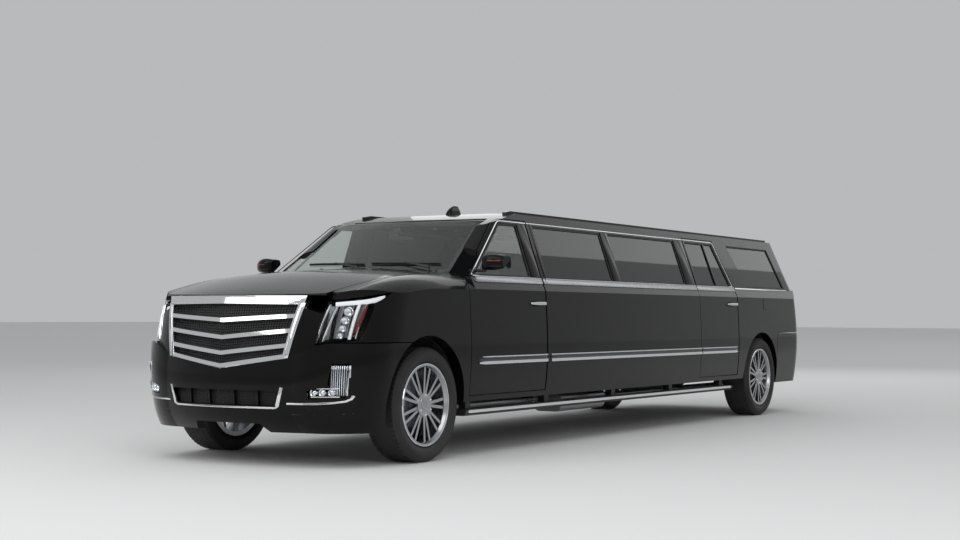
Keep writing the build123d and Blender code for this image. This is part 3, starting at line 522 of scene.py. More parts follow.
# ---------------------------------------------------------------- trims along the sides
FRONT_DOOR_GLASS = [(685, 1348), (1560, 1348), (1560, 1775), (1284, 1775)]
REAR_DOOR_GLASS = [(4812, 1348), (5645, 1348), (5472, 1775), (4812, 1775)]
FIXED_GLASS = [
    [(1805, 1348), (3010, 1348), (3010, 1775), (1805, 1775)],
    [(3150, 1348), (4550, 1348), (4550, 1775), (3150, 1775)],
    [(6070, 1348), (7150, 1348), (6990, 1775), (5850, 1775)],
]
SHOULDER_UP = Vector((-0.4043, 0, 0.9146))
SHOULDER_OUT = Vector((0.9146, 0, 0.4043))


def sided(vector, way):
    return Vector((vector.x * way, vector.y, vector.z))


def fuel_place(wide, high, proud):
    """Maps a sheet on the left rear quarter, with its corners drawn in."""
    def place(u, v):
        a, b = (u * 2 - 1), (v * 2 - 1)
        a, b = a * (1 - 0.10 * b**4), b * (1 - 0.10 * a**4)
        return from_side("rear_quarters", fore(6505) + wide * a, 1.175 + high * b, 1, proud)
    return place


for side, way in SIDES:
    front_door, rear_door = f"front_door_{side}", f"rear_door_{side}"

    # rubber seals round every window
    for place, (outline, body) in enumerate(
        [(FRONT_DOOR_GLASS, front_door), (REAR_DOOR_GLASS, rear_door), *[(g, "chassis") for g in FIXED_GLASS]]
    ):
        points = [glasshouse(way, fore(y), z / 1000, -0.0125) for y, z in outline]
        seal = ring(points, 0.014, lean_way(way) * 0.009)
        done(seal, f"window_seal_{place}_{side}", SEAL, body, 0.003)

    # gloss black covers on the pillars
    for name, body, outline in (
        ("front_door", front_door, [(1564, 1350), (1698, 1350), (1690, 1782), (1564, 1782)]),
        ("stretch_front", "chassis", [(1763, 1350), (1801, 1350), (1801, 1782), (1763, 1782)]),
        ("stretch_middle", "chassis", [(3014, 1350), (3146, 1350), (3146, 1782), (3014, 1782)]),
        ("stretch_rear", "chassis", [(4554, 1350), (4752, 1350), (4752, 1782), (4554, 1782)]),
        ("rear_door", rear_door, [(4772, 1350), (4808, 1350), (4808, 1782), (4772, 1782)]),
    ):
        cover = on_glasshouse(outline, way, -0.001, 0.0025)
        done(cover, f"pillar_cover_{name}_{side}", TRIM_BLACK, body, 0.001)
    divider = on_glasshouse([(5268, 1350), (5292, 1350), (5268, 1773), (5244, 1773)], way, -0.013, -0.001)
    done(divider, f"vent_divider_{side}", TRIM_BLACK, rear_door, 0.002)

    # bright line round the windows
    for name, body, path in (
        ("front_door", front_door, eased([(1706, 1791), (1268, 1791), (640, 1343), (760, 1342)], 46, 6)),
        ("pillar", "chassis", [(1724, 1791), (1753, 1791)]),
        ("stretch", "chassis", [(1762, 1791), (4755, 1791)]),
        ("rear_door", rear_door, eased([(4769, 1791), (5492, 1791), (5676, 1343), (5600, 1342)], 24, 4)),
    ):
        outline = [tuple(p) for p in ribbon(path, 9)]
        line = on_glasshouse(outline, way, -0.001, 0.005)
        done(line, f"window_line_{name}_{side}", CHROME, body, 0.0015)

    # broad brushed belt on the shoulder with its bright upper edge
    for name, body, y0, y1, high in (
        ("front_door", front_door, fore(664), fore(1698), 0.043),
        ("pillar", "chassis", fore(1722), fore(1753), 0.043),
        ("stretch", "chassis", fore(1762), fore(4755), 0.043),
        ("rear_door", rear_door, fore(4770), fore(5700), 0.043),
        ("quarter", "chassis", fore(5728), fore(7190), 0.016),
    ):
        middle = Vector((0.963, 0, 1.335)) - SHOULDER_UP * (0.001 + high / 2) + SHOULDER_OUT * 0.003
        x, z = middle.x * way, middle.z
        path = [(x, y0, z), (x, y0 + 0.03, z), (x, y1, z)]
        belt = strip(path, sided(SHOULDER_UP, way) * high, sided(SHOULDER_OUT, way) * 0.010,
                     [0.35 if name == "front_door" else 1, 1, 1])
        done(belt, f"belt_{name}_{side}", BRUSHED if high > 0.02 else CHROME, body, 0.003, 3)
        if high > 0.02:
            path = [glasshouse(way, y, 1.3395, 0.003) for y in (y0 + 0.02, y1)]
            edge = strip(path, (0, 0, 0.007), lean_way(way) * 0.009)
            done(edge, f"belt_edge_{name}_{side}", CHROME, body, 0.002)

    # moulding low on the flank: bright foot, dark channel and bright upper lip
    for name, body, y0, y1 in (
        (front_door, front_door, 0.664, 1.698),
        ("stretch_panels", "chassis", 1.764, 4.753),
        (rear_door, rear_door, 4.777, 5.666),
    ):
        y0, y1 = fore(y0 * 1000), fore(y1 * 1000)
        first, last = name == front_door, name == rear_door
        for part, z, high, deep, material in (
            ("foot", 0.688, 0.024, 0.020, CHROME), ("channel", 0.712, 0.030, 0.010, DARK_CHROME), ("lip", 0.733, 0.010,
                0.017, CHROME)
        ):
            y_start = y0 + (0.045 if first and part == "lip" else 0.0)
            path = [from_side(name, y, z, way, deep / 2 - 0.003) for y in (y_start, y_start + 0.06, (y0 + y1) / 2,
                y1 - 0.06, y1)]
            sizes = [0.5 if first else 1, 1, 1, 1, 0.5 if last else 1]
            rail = strip(path, (0, 0, high), (deep * way, 0, 0), sizes)
            done(rail, f"flank_{part}_{name}_{side}", material, body, 0.003)

    # running board: bright edge narrowed at its ends, and ribbed tread
    edge = strip(
        [(way * 1.006, fore(y), 0.331) for y in (505, 560, 3000, 5500, 5556)], (0, 0, 0.024), (0.014 * way, 0, 0),
        [0.6, 1, 1, 1, 0.6],
    )
    done(edge, f"running_board_edge_{side}", CHROME, "chassis", 0.004, 3)
    ribs = []
    for x in spread(0.885, 0.985, 6):
        for y0, y1 in ((580, 2150), (2250, 3850), (3950, 5480)):
            ribs.append(strip([(x * way, fore(y0), 0.343), (x * way, fore(y1), 0.343)], (0.009, 0, 0), (0, 0, 0.006)))
    done(joined(ribs), f"running_board_ribs_{side}", RUBBER, "chassis", 0.0015)

    # handles: a bow standing off the door over a dark cup, with its two feet
    for name, body, y_middle, z in ((front_door, front_door, 1572, 1.140), (rear_door, rear_door, 5556, 1.166)):
        face = from_side(name, fore(y_middle), z, way, 0.0025).x
        cup = chain([(face, fore(y_middle) + 0.105 * cos(t), z + 0.030 * sin(t)) for t in spread(0, 2 * pi, 25)[:-1]])
        bpy.ops.mesh.edge_face_add()
        bpy.ops.mesh.select_mode(type="FACE")
        bpy.ops.mesh.select_all(action="SELECT")
        bpy.ops.mesh.inset(thickness=0.008)
        bpy.ops.transform.translate(value=(-0.002 * way, 0, 0))
        bpy.ops.object.mode_set(mode="OBJECT")
        modify(cup, "SOLIDIFY", thickness=0.003, offset=0)
        done(cup, f"handle_cup_{name}", TRIM_BLACK, body, 0.0006)
        bow = []
        for t in spread(-1, 1, 13):
            y = fore(y_middle) + 0.122 * t
            lift = 0.008 + 0.036 * (1 - abs(t) ** 2.6)
            bow.append(from_side(name, y, z, way, lift))
        handle = strip(bow, (0, 0, 0.024), (0.011 * way, 0, 0), [0.55, 0.8, 0.95, 1, 1, 1, 1, 1, 1, 1, 0.95, 0.8, 0.55])
        done(handle, f"handle_{name}", CHROME, body, 0.004, 4)

    # fuel door on the left rear quarter
    if side == "left":
        for part, wide, high, low, top, material in (
            ("gap", 0.092, 0.062, -0.002, 0.0010, SEAL), ("flap", 0.087, 0.057, -0.001, 0.0028, PAINT)
        ):
            flap = grid(18, 12, fuel_place(wide, high, (low + top) / 2))
            modify(flap, "SOLIDIFY", thickness=top - low, offset=0)
            done(flap, f"fuel_{part}", material, "chassis")

    # glass, housing seam and turn signal of the mirror
    mirror = f"door_mirror_{side}"
    glass = eased([(1.062, 1.398), (1.062, 1.487), (1.174, 1.480), (1.174, 1.403), (1.062, 1.398)], 0.022, 4)[1:-1]
    for part, low, high, material, scale in (("surround", -0.003, 0.003, SEAL, 1.07),
        ("glass", 0.002, 0.0055, MIRROR, 1.0)):
        points = []
        for x, z in glass:
            x, z = 1.119 + (x - 1.119) * scale, 1.441 + (z - 1.441) * scale
            points.append(Vector((x * way, fore(869) + low, z)))
        done(plate(points, (0, high - low, 0)), f"mirror_{part}_{side}", material, front_door, 0.001)
    path = [from_end(mirror, x * way, 1.452, True, 0.001) for x in spread(1.07, 1.172, 6)]
    done(strip(path, (0, 0, 0.009), (0, 0.006, 0)), f"mirror_signal_{side}", AMBER, front_door, 0.002)
    path = [from_end(mirror, x * way, 1.412, True, 0.0005) for x in spread(1.04, 1.172, 8)]
    done(strip(path, (0, 0, 0.003), (0, 0.003, 0)), f"mirror_seam_{side}", SEAL, front_door, 0.0005)

    # liners inside the wheel arches
    for end, axle, radius, inner in (("front", FRONT_AXLE, 0.487, 0.60), ("rear", REAR_AXLE, 0.466, 0.72)):
        centre = (0, axle, HUB_Z)
        start = radians(-2)
        a, b = (Vector((x * way, axle + radius * cos(start), HUB_Z + radius * sin(start))) for x in (inner, 0.935))
        liner = chain([a, b])
        bpy.ops.mesh.spin(steps=36, angle=radians(184), center=centre, axis=(1, 0, 0))
        bpy.ops.object.mode_set(mode="OBJECT")
        if min(v.co.z for v in liner.data.vertices) + liner.location.z < 0.2:
            choose(liner)
            bpy.ops.object.mode_set(mode="EDIT")
            bpy.ops.mesh.select_all(action="SELECT")
            bpy.ops.transform.resize(value=(1, 1, -1), center_override=centre)
            bpy.ops.object.mode_set(mode="OBJECT")
        modify(liner, "SOLIDIFY", thickness=0.003, offset=0)
        choose(liner)
        bpy.ops.object.mode_set(mode="EDIT")
        outward()
        bpy.ops.object.mode_set(mode="OBJECT")
        done(liner, f"arch_liner_{end}_{side}", PLASTIC, "chassis", 0.0008)


# ---------------------------------------------------------------- nose
def nose_y(x, z, inset):
    """Y of the nose's face between bumper and hood, so far behind its skin."""
    heights = (0.43, 0.68, 0.95, 1.235)
    middle = corner = 0.0
    for own, mid, side in zip(heights, (-1.050, -1.060, -1.042, -0.985), (-0.965, -0.975, -0.952, -0.880)):
        share = 1.0
        for other in heights:
            if other != own:
                share *= (z - other) / (own - other)
        middle += share * mid
        corner += share * side
    return FRONT_AXLE + middle + (corner - middle) * (x / 0.56) ** 2 + inset


def grille_place(inset):
    """Maps a sheet on the grille's V-footed opening."""
    def place(u, v):
        u = u * 2 - 1
        low = 0.679 + 0.075 * abs(u)
        z = low + v * (1.160 - low)
        x = u * (0.510 + 0.095 * max(0.0, z - 0.748) / 0.417)
        return Vector((x, nose_y(x, z, inset), z))
    return place


backing = grid(24, 10, grille_place(0.0468))
modify(backing, "SOLIDIFY", thickness=0.002, offset=0)
done(backing, "grille_backing", SEAL, "chassis")
mesh = grid(58, 26, grille_place(0.043))
modify(mesh, "WIREFRAME", thickness=0.0045, use_even_offset=False)
done(mesh, "grille_mesh", TRIM_BLACK, "chassis")

# bright cap along the grille's head and a bevelled rim down its sides
upper = [(x, 1174) for x in spread(-618, 618, 15)]
lower = [(x, 1122) for x in spread(600, -600, 15)]
points = [Vector((x / 1000, nose_y(x / 1000, z / 1000, 0.002), z / 1000)) for x, z in upper + lower]
done(plate(points, (0, -0.007, 0)), "grille_head", CHROME, "chassis", 0.003, 3)
for side, way in SIDES:
    path = [(way * x, z) for x, z in ((600, 1126), (560, 944), (516, 752))]
    outline = ribbon(finer(path, 60), 30)
    points = [Vector((p.x / 1000, nose_y(p.x / 1000, p.y / 1000, 0.003), p.y / 1000)) for p in outline]
    rim = plate(points, (0, -0.006, 0))
    done(rim, f"grille_rim_{side}", CHROME, "chassis", 0.0025, 3)

# lower intake: mesh, dividers and the bright U round its foot
def intake_place(u, v):
    z = 0.428 + v * 0.100
    x = (u * 2 - 1) * (0.436 + 0.044 * (z - 0.425) / 0.105)
    return Vector((x, nose_y(x, z, 0.034), z))


backing = grid(20, 3, lambda u, v: intake_place(u, v) + Vector((0, 0.010, 0)))
modify(backing, "SOLIDIFY", thickness=0.003, offset=0)
done(backing, "intake_backing", SEAL, "chassis")
mesh = grid(56, 7, intake_place)
modify(mesh, "WIREFRAME", thickness=0.004, use_even_offset=False)
done(mesh, "intake_mesh", PLASTIC, "chassis")
bars = []
for x in (-0.30, -0.11, 0.11, 0.30):
    path = [Vector((x, nose_y(x, z, 0.022), z)) for z in (0.428, 0.478, 0.528)]
    bars.append(strip(path, (0.014, 0, 0), (0, 0.026, 0)))
done(joined(bars), "intake_dividers", TRIM_BLACK, "chassis", 0.002)
path = eased([(-502, 548), (-452, 412), (452, 412), (494, 536)], 22, 4)
outline = ribbon(finer(path, 70), 13)
points = [from_end("front_bumper", p.x / 1000, p.y / 1000, True, -0.004) for p in outline]
done(plate(points, (0, -0.012, 0)), "intake_chrome", CHROME, "chassis", 0.003, 3)
wedge = [(-506, 552), (-484, 552), (-446, 432), (-456, 412), (-470, 424)]
for side, outline in (("right", wedge), ("left", [(-x, z) for x, z in wedge[::-1]])):
    points = [from_end("front_bumper", x / 1000, z / 1000, True, -0.002) for x, z in outline]
    done(plate(points, (0, -0.012, 0)), f"intake_chrome_end_{side}", CHROME, "chassis", 0.002)

FLUTE_FOOT, FLUTE_HEAD = 0.500, 0.703
for side, way in SIDES:
    # dark strip across the bumper's foot: painted shade of a groove, no groove is cut
    path = [(way * x, z) for x, z in ((545, 372), (700, 372), (860, 376), (905, 380))]
    outline = ribbon(finer(path, 60), 7)
    points = [from_end("front_bumper", p.x / 1000, p.y / 1000, True, -0.003) for p in outline]
    done(plate(points, (0, -0.004, 0)), f"chin_groove_painted_shade_{side}", SEAL, "chassis", 0.0006)

    # lamp in the bumper: bright foot strip, stacked lenses and fluted reflector
    path = [(way * x, z) for x, z in ((524, 443), (610, 444), (720, 446), (820, 452), (880, 462), (905, 478),
        (916, 500))]
    outline = ribbon(finer(path, 50), 13)
    points = [from_end("front_bumper", p.x / 1000, p.y / 1000, True, -0.004) for p in outline]
    done(plate(points, (0, -0.011, 0)), f"fog_strip_{side}", CHROME, "chassis", 0.003, 3)
    flutes = []
    for x in spread(0.806, 0.922, 12):
        path = []
        for z in spread(FLUTE_FOOT, FLUTE_HEAD, 6):
            lean = (z - FLUTE_FOOT) * 0.05
            try:
                path.append(from_end("fog_lamps", way * (x + lean), z, True, -0.010))
            except ValueError:  # past the lens's slanted end, where a flute stops short
                continue
        if len(path) > 2:
            flutes.append(strip(path, (0.0045, 0, 0), (0, 0.014, 0)))
    done(joined(flutes), f"fog_flutes_{side}", LAMP_GLOW, "chassis", 0.001)
    cells = []
    for x in (0.700, 0.752, 0.804):
        centre = from_end("fog_lamps", way * x, 0.520, True, -0.020)
        profile = (
            (-0.010, 0.0), (-0.007, 0.012), (-0.001, 0.019), (0.001, 0.023), (-0.006, 0.025), (0.010, 0.026), (0.010,
                0.0)
        )
        cells.append(lathe(centre, ALONG_Y, profile, 20))
    done(joined(cells), f"fog_cells_{side}", LAMP_GLOW, "chassis")
    tray = []
    for z in (0.492, 0.548):
        path = [from_end("fog_lamps", way * x, z, True, -0.014) for x in spread(0.690, 0.850, 6)]
        tray.append(strip(path, (0, 0, 0.006), (0, 0.020, 0)))
    done(joined(tray), f"fog_tray_{side}", CHROME, "chassis", 0.001)


# ---------------------------------------------------------------- headlamps
def in_lamp(way, x, z, deep):
    """Place so deep behind the headlamp's face."""
    for dx in (0, -0.006, 0.006, -0.012, 0.012, -0.02, 0.02):
        for dz in (0, -0.006, 0.006, -0.015):
            hit, place, _, _ = nodes["headlamps"].ray_cast(Vector((way * (x + dx), -4.8, z + dz)), Vector((0, 1, 0)))
            if hit:
                return Vector((way * x, place.y + deep, z))
    raise ValueError(f"no headlamp at {x:.3f}, {z:.3f}")


def lamp_bar(way, path, wide, deep, thick):
    """Bar inside the headlamp along a path of (x, z)."""
    points = [in_lamp(way, x, z, deep) for x, z in path]
    return strip(points, (wide * way, -wide * 0.4, 0), (0, thick, 0))


for side, way in SIDES:
    # dark tub behind everything
    tub = []
    for x, z0, z1 in ((0.745, 0.875, 1.098), (0.790, 0.882, 1.106), (0.835, 0.888, 1.112), (0.880, 0.892, 1.118),
        (0.925, 0.9, 1.12)):
        tub.append(lamp_bar(way, [(x - 0.012 * (1.1 - z) / 0.2, z) for z in spread(z0, z1, 5)], 0.046, 0.058, 0.004))
    done(joined(tub), f"lamp_tub_{side}", LAMP_SILVER, "chassis")

    # inner upright, frame of the lens column, brow along the top and outer upright
    bright = [
        lamp_bar(way, [(0.748 - 0.055 * t, 1.112 - 0.262 * t) for t in spread(0, 1, 7)], 0.010, 0.012, 0.020),
        lamp_bar(way, [(0.784 - 0.050 * t, 1.104 - 0.244 * t) for t in spread(0, 1, 7)], 0.014, 0.014, 0.026),
        lamp_bar(way, [(0.914 - 0.022 * t, 1.116 - 0.236 * t) for t in spread(0, 1, 7)], 0.007, 0.010, 0.022),
        lamp_bar(way, [(0.748 + 0.152 * t, 0.872 + 0.012 * t) for t in spread(0, 1, 7)], 0.006, 0.012, 0.020),
    ]
    done(joined(bright), f"lamp_uprights_{side}", CHROME, "chassis", 0.0015)
    guide = lamp_bar(way, [(0.882 - 0.020 * t, 1.112 - 0.236 * t) for t in spread(0, 1, 7)], 0.026, 0.014, 0.022)
    done(guide, f"lamp_guide_{side}", GLOW_WHITE, "chassis", 0.003)
    brow = strip(
        [in_lamp(way, x, z, 0.012) for x, z in ((0.776, 1.112), (0.82, 1.118), (0.87, 1.125), (0.91, 1.133),
            (0.94, 1.145), (0.955, 1.158), (0.965, 1.170))],
        (0, 0, 0.030), (-0.01 * way, 0.020, 0), [1, 1, 1, 1.1, 1.1, 0.9, 0.5],
    )
    done(brow, f"lamp_brow_{side}", GLOW_WHITE, "chassis", 0.002)

    # stacked lenses, each in a bright bezel, over thin shelves
    cells, eyes = [], []
    for x, z, r in ((0.836, 1.064, 0.030), (0.827, 1.004, 0.026), (0.819, 0.950, 0.024), (0.811, 0.902, 0.021)):
        centre = in_lamp(way, x, z, 0.030)
        aim = Vector((way * 0.35, -0.93, 0)).normalized()
        bezel = ((-0.012, 0.0), (-0.012, r * 1.15), (0.004, r * 1.15), (0.006, r * 1.05), (-0.002, r * 0.9),
            (-0.004, 0.0))
        cells.append(lathe(centre, aim, bezel, 24))
        lens = ((-0.003, 0.0), (-0.003, r * 0.86), (0.004, r * 0.72), (0.010, r * 0.4), (0.012, 0.0))
        eyes.append(lathe(centre, aim, lens, 24))
    done(joined(cells), f"lamp_bezels_{side}", LAMP_GLOW, "chassis")
    done(joined(eyes), f"lamp_eyes_{side}", LENS, "chassis")
    shelves = []
    for x, z in ((0.830, 1.032), (0.822, 0.976), (0.816, 0.925), (0.810, 0.880)):
        shelves.append(lamp_bar(way, [(x - 0.035, z), (x, z + 0.001), (x + 0.035, z + 0.002)], 0.004, 0.014, 0.034))
    done(joined(shelves), f"lamp_shelves_{side}", BRUSHED, "chassis", 0.0008)

    # side marker: a slim leaning lens on the flank of the lamp
    marker = []
    for z in spread(0.905, 1.108, 8):
        t = (z - 0.905) / 0.203
        y = fore(-716 + 110 * t)
        marker.append(from_side("headlamps", y, z, way, -0.003))
    lens = strip(marker, (0.0, 0.028, -0.004), (0.010 * way, 0, 0), [0.6, 0.9, 1, 1, 1, 1, 0.95, 0.6])
    done(lens, f"lamp_marker_{side}", RED_LENS, "chassis", 0.002)

# ---------------------------------------------------------------- hood, cowl and windscreen
# wipers: arm, blade spine and rubber edge
SCREEN_OUT = Vector((0, -0.55, 0.83)).normalized()


def on_screen(x, z, proud=0.0):
    """Place on the windscreen's outer face, or as near its edge as the glass goes."""
    for shrink in (0, 0.01, 0.02, 0.03, 0.05, 0.08):
        start = Vector((x * (1 - shrink), -4.8, 1.57 + (z - 1.57) * (1 - shrink)))
        hit, place, _, _ = nodes["windscreen"].ray_cast(start, Vector((0, 1, 0)))
        if hit:
            return place + SCREEN_OUT * proud
    raise ValueError(f"no windscreen at {x:.3f}, {z:.3f}")


for number, (x0, x1, x_pivot) in enumerate(((0.66, 0.06, 0.60), (0.00, -0.60, -0.02))):
    blade = [on_screen(x, 1.432 + 0.006 * i / 8, 0.014) for i, x in enumerate(spread(x0, x1, 9))]
    spine = strip(blade, (0, 0.006, 0.009), SCREEN_OUT * 0.007, [0.5, 0.8, 1, 1, 1, 1, 1, 0.8, 0.5])
    done(spine, f"wiper_blade_{number}", PLASTIC, "chassis", 0.001)
    edge = strip([p - SCREEN_OUT * 0.0075 for p in blade], (0, 0.002, 0.003), SCREEN_OUT * 0.010)
    done(edge, f"wiper_edge_{number}", SEAL, "chassis")
    pivot = on_screen(x_pivot, 1.392, 0.006)
    middle = blade[4] + SCREEN_OUT * 0.006
    arm = strip([pivot, pivot + SCREEN_OUT * 0.016, pivot.lerp(middle, 0.5) + SCREEN_OUT * 0.010, middle],
                (0, 0.010, 0.014), SCREEN_OUT * 0.008, [1.2, 1.1, 0.9, 0.6])
    done(arm, f"wiper_arm_{number}", PLASTIC, "chassis", 0.0015)

# dark band printed round the windscreen's edge, and the mirror hanging from its head
for name, path, wide in (
    ("head", [(-0.650, 1.768), (-0.3, 1.774), (0, 1.775), (0.3, 1.774), (0.650, 1.768)], 0.034),
    ("left", [(0.745, 1.385), (0.715, 1.55), (0.676, 1.760)], 0.030),
    ("right", [(-0.745, 1.385), (-0.715, 1.55), (-0.676, 1.760)], 0.030),
    ("foot", [(-0.74, 1.380), (-0.3, 1.375), (0, 1.375), (0.3, 1.375), (0.74, 1.380)], 0.030),
):
    outline = ribbon(finer(path, 0.08), wide)
    points = [on_screen(p.x, p.y, -0.0075) for p in outline]
    done(plate(points, SCREEN_OUT * -0.002), f"screen_band_{name}", SEAL, "chassis")
foot = on_screen(0, 1.735, -0.012)
stalk = strip([foot, foot + Vector((0, 0.03, -0.012)), foot + Vector((0, 0.055, -0.04))], (0.05, 0, 0),
    (0, 0.012, 0.03), [1.2, 0.8, 0.6])
done(stalk, "cabin_mirror_stalk", PLASTIC, "chassis", 0.004)
outline = eased([(0.125, 0.034), (-0.125, 0.034), (-0.12, -0.034), (0.12, -0.034), (0.125, 0.034)], 0.024, 4)[1:-1]
middle = foot + Vector((0, 0.06, -0.055))
done(plate([middle + Vector((p.x, 0, p.y)) for p in (Vector(q) for q in outline)], (0, 0.018, 0)), "cabin_mirror_shell",
     PLASTIC, "chassis", 0.007, 3)
done(plate([middle + Vector((p.x * 0.92, 0.0175, p.y * 0.86)) for p in (Vector(q) for q in outline)], (0, 0.002, 0)),
     "cabin_mirror_glass", MIRROR, "chassis", 0.0005)

# slotted trim in the gap between hood and windscreen
slats = []
for x in spread(-0.66, 0.66, 34):
    place = on_screen(x, 1.384, 0.002)
    slats.append(strip([place + Vector((0, -0.045, -0.004)), place], (0.012, 0, 0), (0, 0, 0.005)))
done(joined(slats), "cowl_slats", PLASTIC, "chassis", 0.001)

# washer nozzles
for side, way in SIDES:
    place = from_top("hood", way * 0.28, fore(430), 0.001)
    nozzle = strip([place + Vector((0, 0.016, 0)), place, place - Vector((0, 0.016, 0))], (0.022, 0, 0), (0, 0, 0.012),
        [0.5, 1, 0.6])
    done(nozzle, f"washer_nozzle_{side}", PLASTIC, "hood", 0.002)


# ---------------------------------------------------------------- wheels, tyres and brakes
# outlines turned about the wheel's axis: (outwards from the wheel's middle, radius)
TREAD_RIB = ((-0.016, 0.4045), (-0.0145, 0.4082), (0.0145, 0.4082), (0.016, 0.4045), (-0.016, 0.4045))
SIDEWALL_LINE = ((-0.002, -0.003), (0.0014, -0.0016), (0.0014, 0.0016), (-0.002, 0.003), (-0.002, -0.003))
RIM_BEAD = ((0.118, 0.288), (0.1245, 0.2895), (0.1255, 0.2935), (0.122, 0.297), (0.118, 0.2965), (0.118, 0.288))
CENTRE_CAP = (
    (0.085, 0.0), (0.085, 0.0378), (0.1115, 0.0378), (0.1140, 0.0350), (0.1150, 0.030), (0.1135, 0.0275),
    (0.1155, 0.012), (0.116, 0.0),
)
LUG_NUT = (
    (0.100, 0.0), (0.100, 0.0072), (0.1095, 0.0072), (0.1095, 0.0125), (0.1120, 0.0125), (0.1125, 0.0102),
    (0.1235, 0.0100), (0.1260, 0.0070), (0.1265, 0.0),
)
# the disc's outline counts from the car's middle
BRAKE_DISC = (
    (0.850, 0.0690), (0.850, 0.1760), (0.852, 0.1780), (0.8590, 0.1780), (0.8590, 0.1735), (0.8640, 0.1735),
    (0.8640, 0.1780), (0.8700, 0.1780), (0.872, 0.1760), (0.872, 0.0900), (0.8760, 0.0870), (0.9005, 0.0870),
    (0.9005, 0.0690), (0.850, 0.0690),
)
STUD_CIRCLE = 0.06985
FIRST_STUD = radians(30)


def sidewall_x(radius):
    """How far the tyre's sidewall stands from the wheel's middle at a radius."""
    return 0.1425 - 9.79 * (radius - 0.355) ** 2


for end, axle in ENDS:
    for side, way in SIDES:
        body = f"wheel_{end}_{side}"
        centre = Vector((way * TRACK_HALF, axle, HUB_Z))

        # tread: three ribs round the middle and a row of blocks on each shoulder
        ribs = []
        for out in (-0.044, 0.0, 0.044):
            profile = [(out + dx, r) for dx, r in TREAD_RIB]
            ribs.append(lathe(centre, ALONG_X, profile, 72, way))
        done(joined(ribs), f"tread_ribs_{end}_{side}", RUBBER, body)
        rows = []
        for out, along in ((-0.088, 0.0), (0.088, 0.018)):
            lug = block(centre + Vector((way * out, along, 0.4035)), (0.044, 0.027, 0.008))
            pick(lug, lambda c, n: n.z > 0.9)
            crown = centre + Vector((way * out, along, 0.4075))
            bpy.ops.transform.resize(value=(0.9, 0.8, 1), center_override=crown)
            bpy.ops.object.mode_set(mode="OBJECT")
            rows.append(wheel_of(lug, 70, centre, ALONG_X))
        done(joined(rows), f"tread_blocks_{end}_{side}", RUBBER, body)

        # sidewall: rim protector, shoulder line and fine ribs between them
        rings = []
        for radius in (0.309, 0.366, 0.390):
            x = sidewall_x(radius)
            profile = [(x + dx, radius + dr) for dx, dr in SIDEWALL_LINE]
            rings.append(lathe(centre, ALONG_X, profile, 72, way))
        rib = block(centre + Vector((way * (sidewall_x(0.378) + 0.0002), 0, 0.378)), (0.0022, 0.0026, 0.019))
        rings.append(wheel_of(rib, 90, centre, ALONG_X))
        done(joined(rings), f"sidewall_rings_{end}_{side}", RUBBER, body)

        # bright bead round the rim's lip, plain centre cap, lug nuts and valve
        done(lathe(centre, ALONG_X, RIM_BEAD, 72, way), f"rim_bead_{end}_{side}", CHROME, body)
        done(lathe(centre, ALONG_X, CENTRE_CAP, 40, way), f"centre_cap_{end}_{side}", BRUSHED, body)
        stud = centre + Vector((0, cos(FIRST_STUD), sin(FIRST_STUD))) * STUD_CIRCLE
        nuts = wheel_of(lathe(stud, ALONG_X, LUG_NUT, 6, way), 6, centre, ALONG_X)
        done(nuts, f"lug_nuts_{end}_{side}", CHROME, body)
        path = [centre + Vector((way * out, 0.030, r)) for out, r in ((0.060, 0.2515), (0.078, 0.246), (0.098, 0.240))]
        done(tube(path, 0.004, 8), f"valve_{end}_{side}", SEAL, body)

        # brake disc with its hat, and the caliper over it
        hub_centre = (0, axle, HUB_Z)
        done(lathe(hub_centre, ALONG_X, BRAKE_DISC, 60, way), f"brake_disc_{end}_{side}", STEEL, body)
        turns = spread(radians(-30), radians(30), 7)
        path = [Vector((way * 0.861, axle + 0.162 * cos(t), HUB_Z + 0.162 * sin(t))) for t in turns]
        caliper = strip(path, (way * 0.058, 0, 0), (0, 0.060, 0.03), [0.8, 1, 1, 1, 1, 1, 0.8])
        pick(caliper, lambda c, n: abs(n.x) > 0.9)
        bpy.ops.mesh.inset(thickness=0.008, use_individual=False)
        bpy.ops.transform.resize(value=(0.9, 1, 1), center_override=path[3])
        bpy.ops.object.mode_set(mode="OBJECT")
        holder = f"knuckle_{side}" if end == "front" else "chassis"
        done(caliper, f"brake_caliper_{end}_{side}", CAST, holder, 0.004)

# ---------------------------------------------------------------- rear end
for side, way in SIDES:
    # tail lamp: bright strip down its inner edge, three standing light bars and a clear cell for reversing
    inner_edge = [from_end("tail_lamps", way * 0.792, z, False, 0.0015) for z in spread(0.892, 1.298, 10)]
    done(strip(inner_edge, (0.008, 0, 0), (0, 0.006, 0)), f"tail_edge_{side}", CHROME, "chassis", 0.0015)
    bars = []
    for x in (0.820, 0.858, 0.896):
        path = [from_end("tail_lamps", way * x, z, False, 0.0008) for z in spread(0.985, 1.272, 12)]
        bars.append(strip(path, (0.015, 0, 0), (0, 0.005, 0), [0.5, *[1] * 10, 0.5]))
    done(joined(bars), f"tail_bars_{side}", TAIL_GLOW, "chassis", 0.002, 3)
    for cell, z, high, material in (("reverse", 0.930, 0.040, GLOW_WHITE), ("turn", 0.968, 0.018, AMBER)):
        path = [from_end("tail_lamps", way * x, z, False, 0.0008) for x in spread(0.812, 0.930, 8)]
        done(strip(path, (0, 0, high), (0, 0.005, 0)), f"{cell}_cell_{side}", material, "chassis", 0.002,
            3)

    # reflector low in the bumper
    path = [from_end("rear_bumper", way * x, 0.600, False, 0.001) for x in spread(0.600, 0.780, 8)]
    done(strip(path, (0, 0, 0.034), (0, 0.005, 0)), f"bumper_reflector_{side}", RED_LENS, "chassis",
        0.0015)

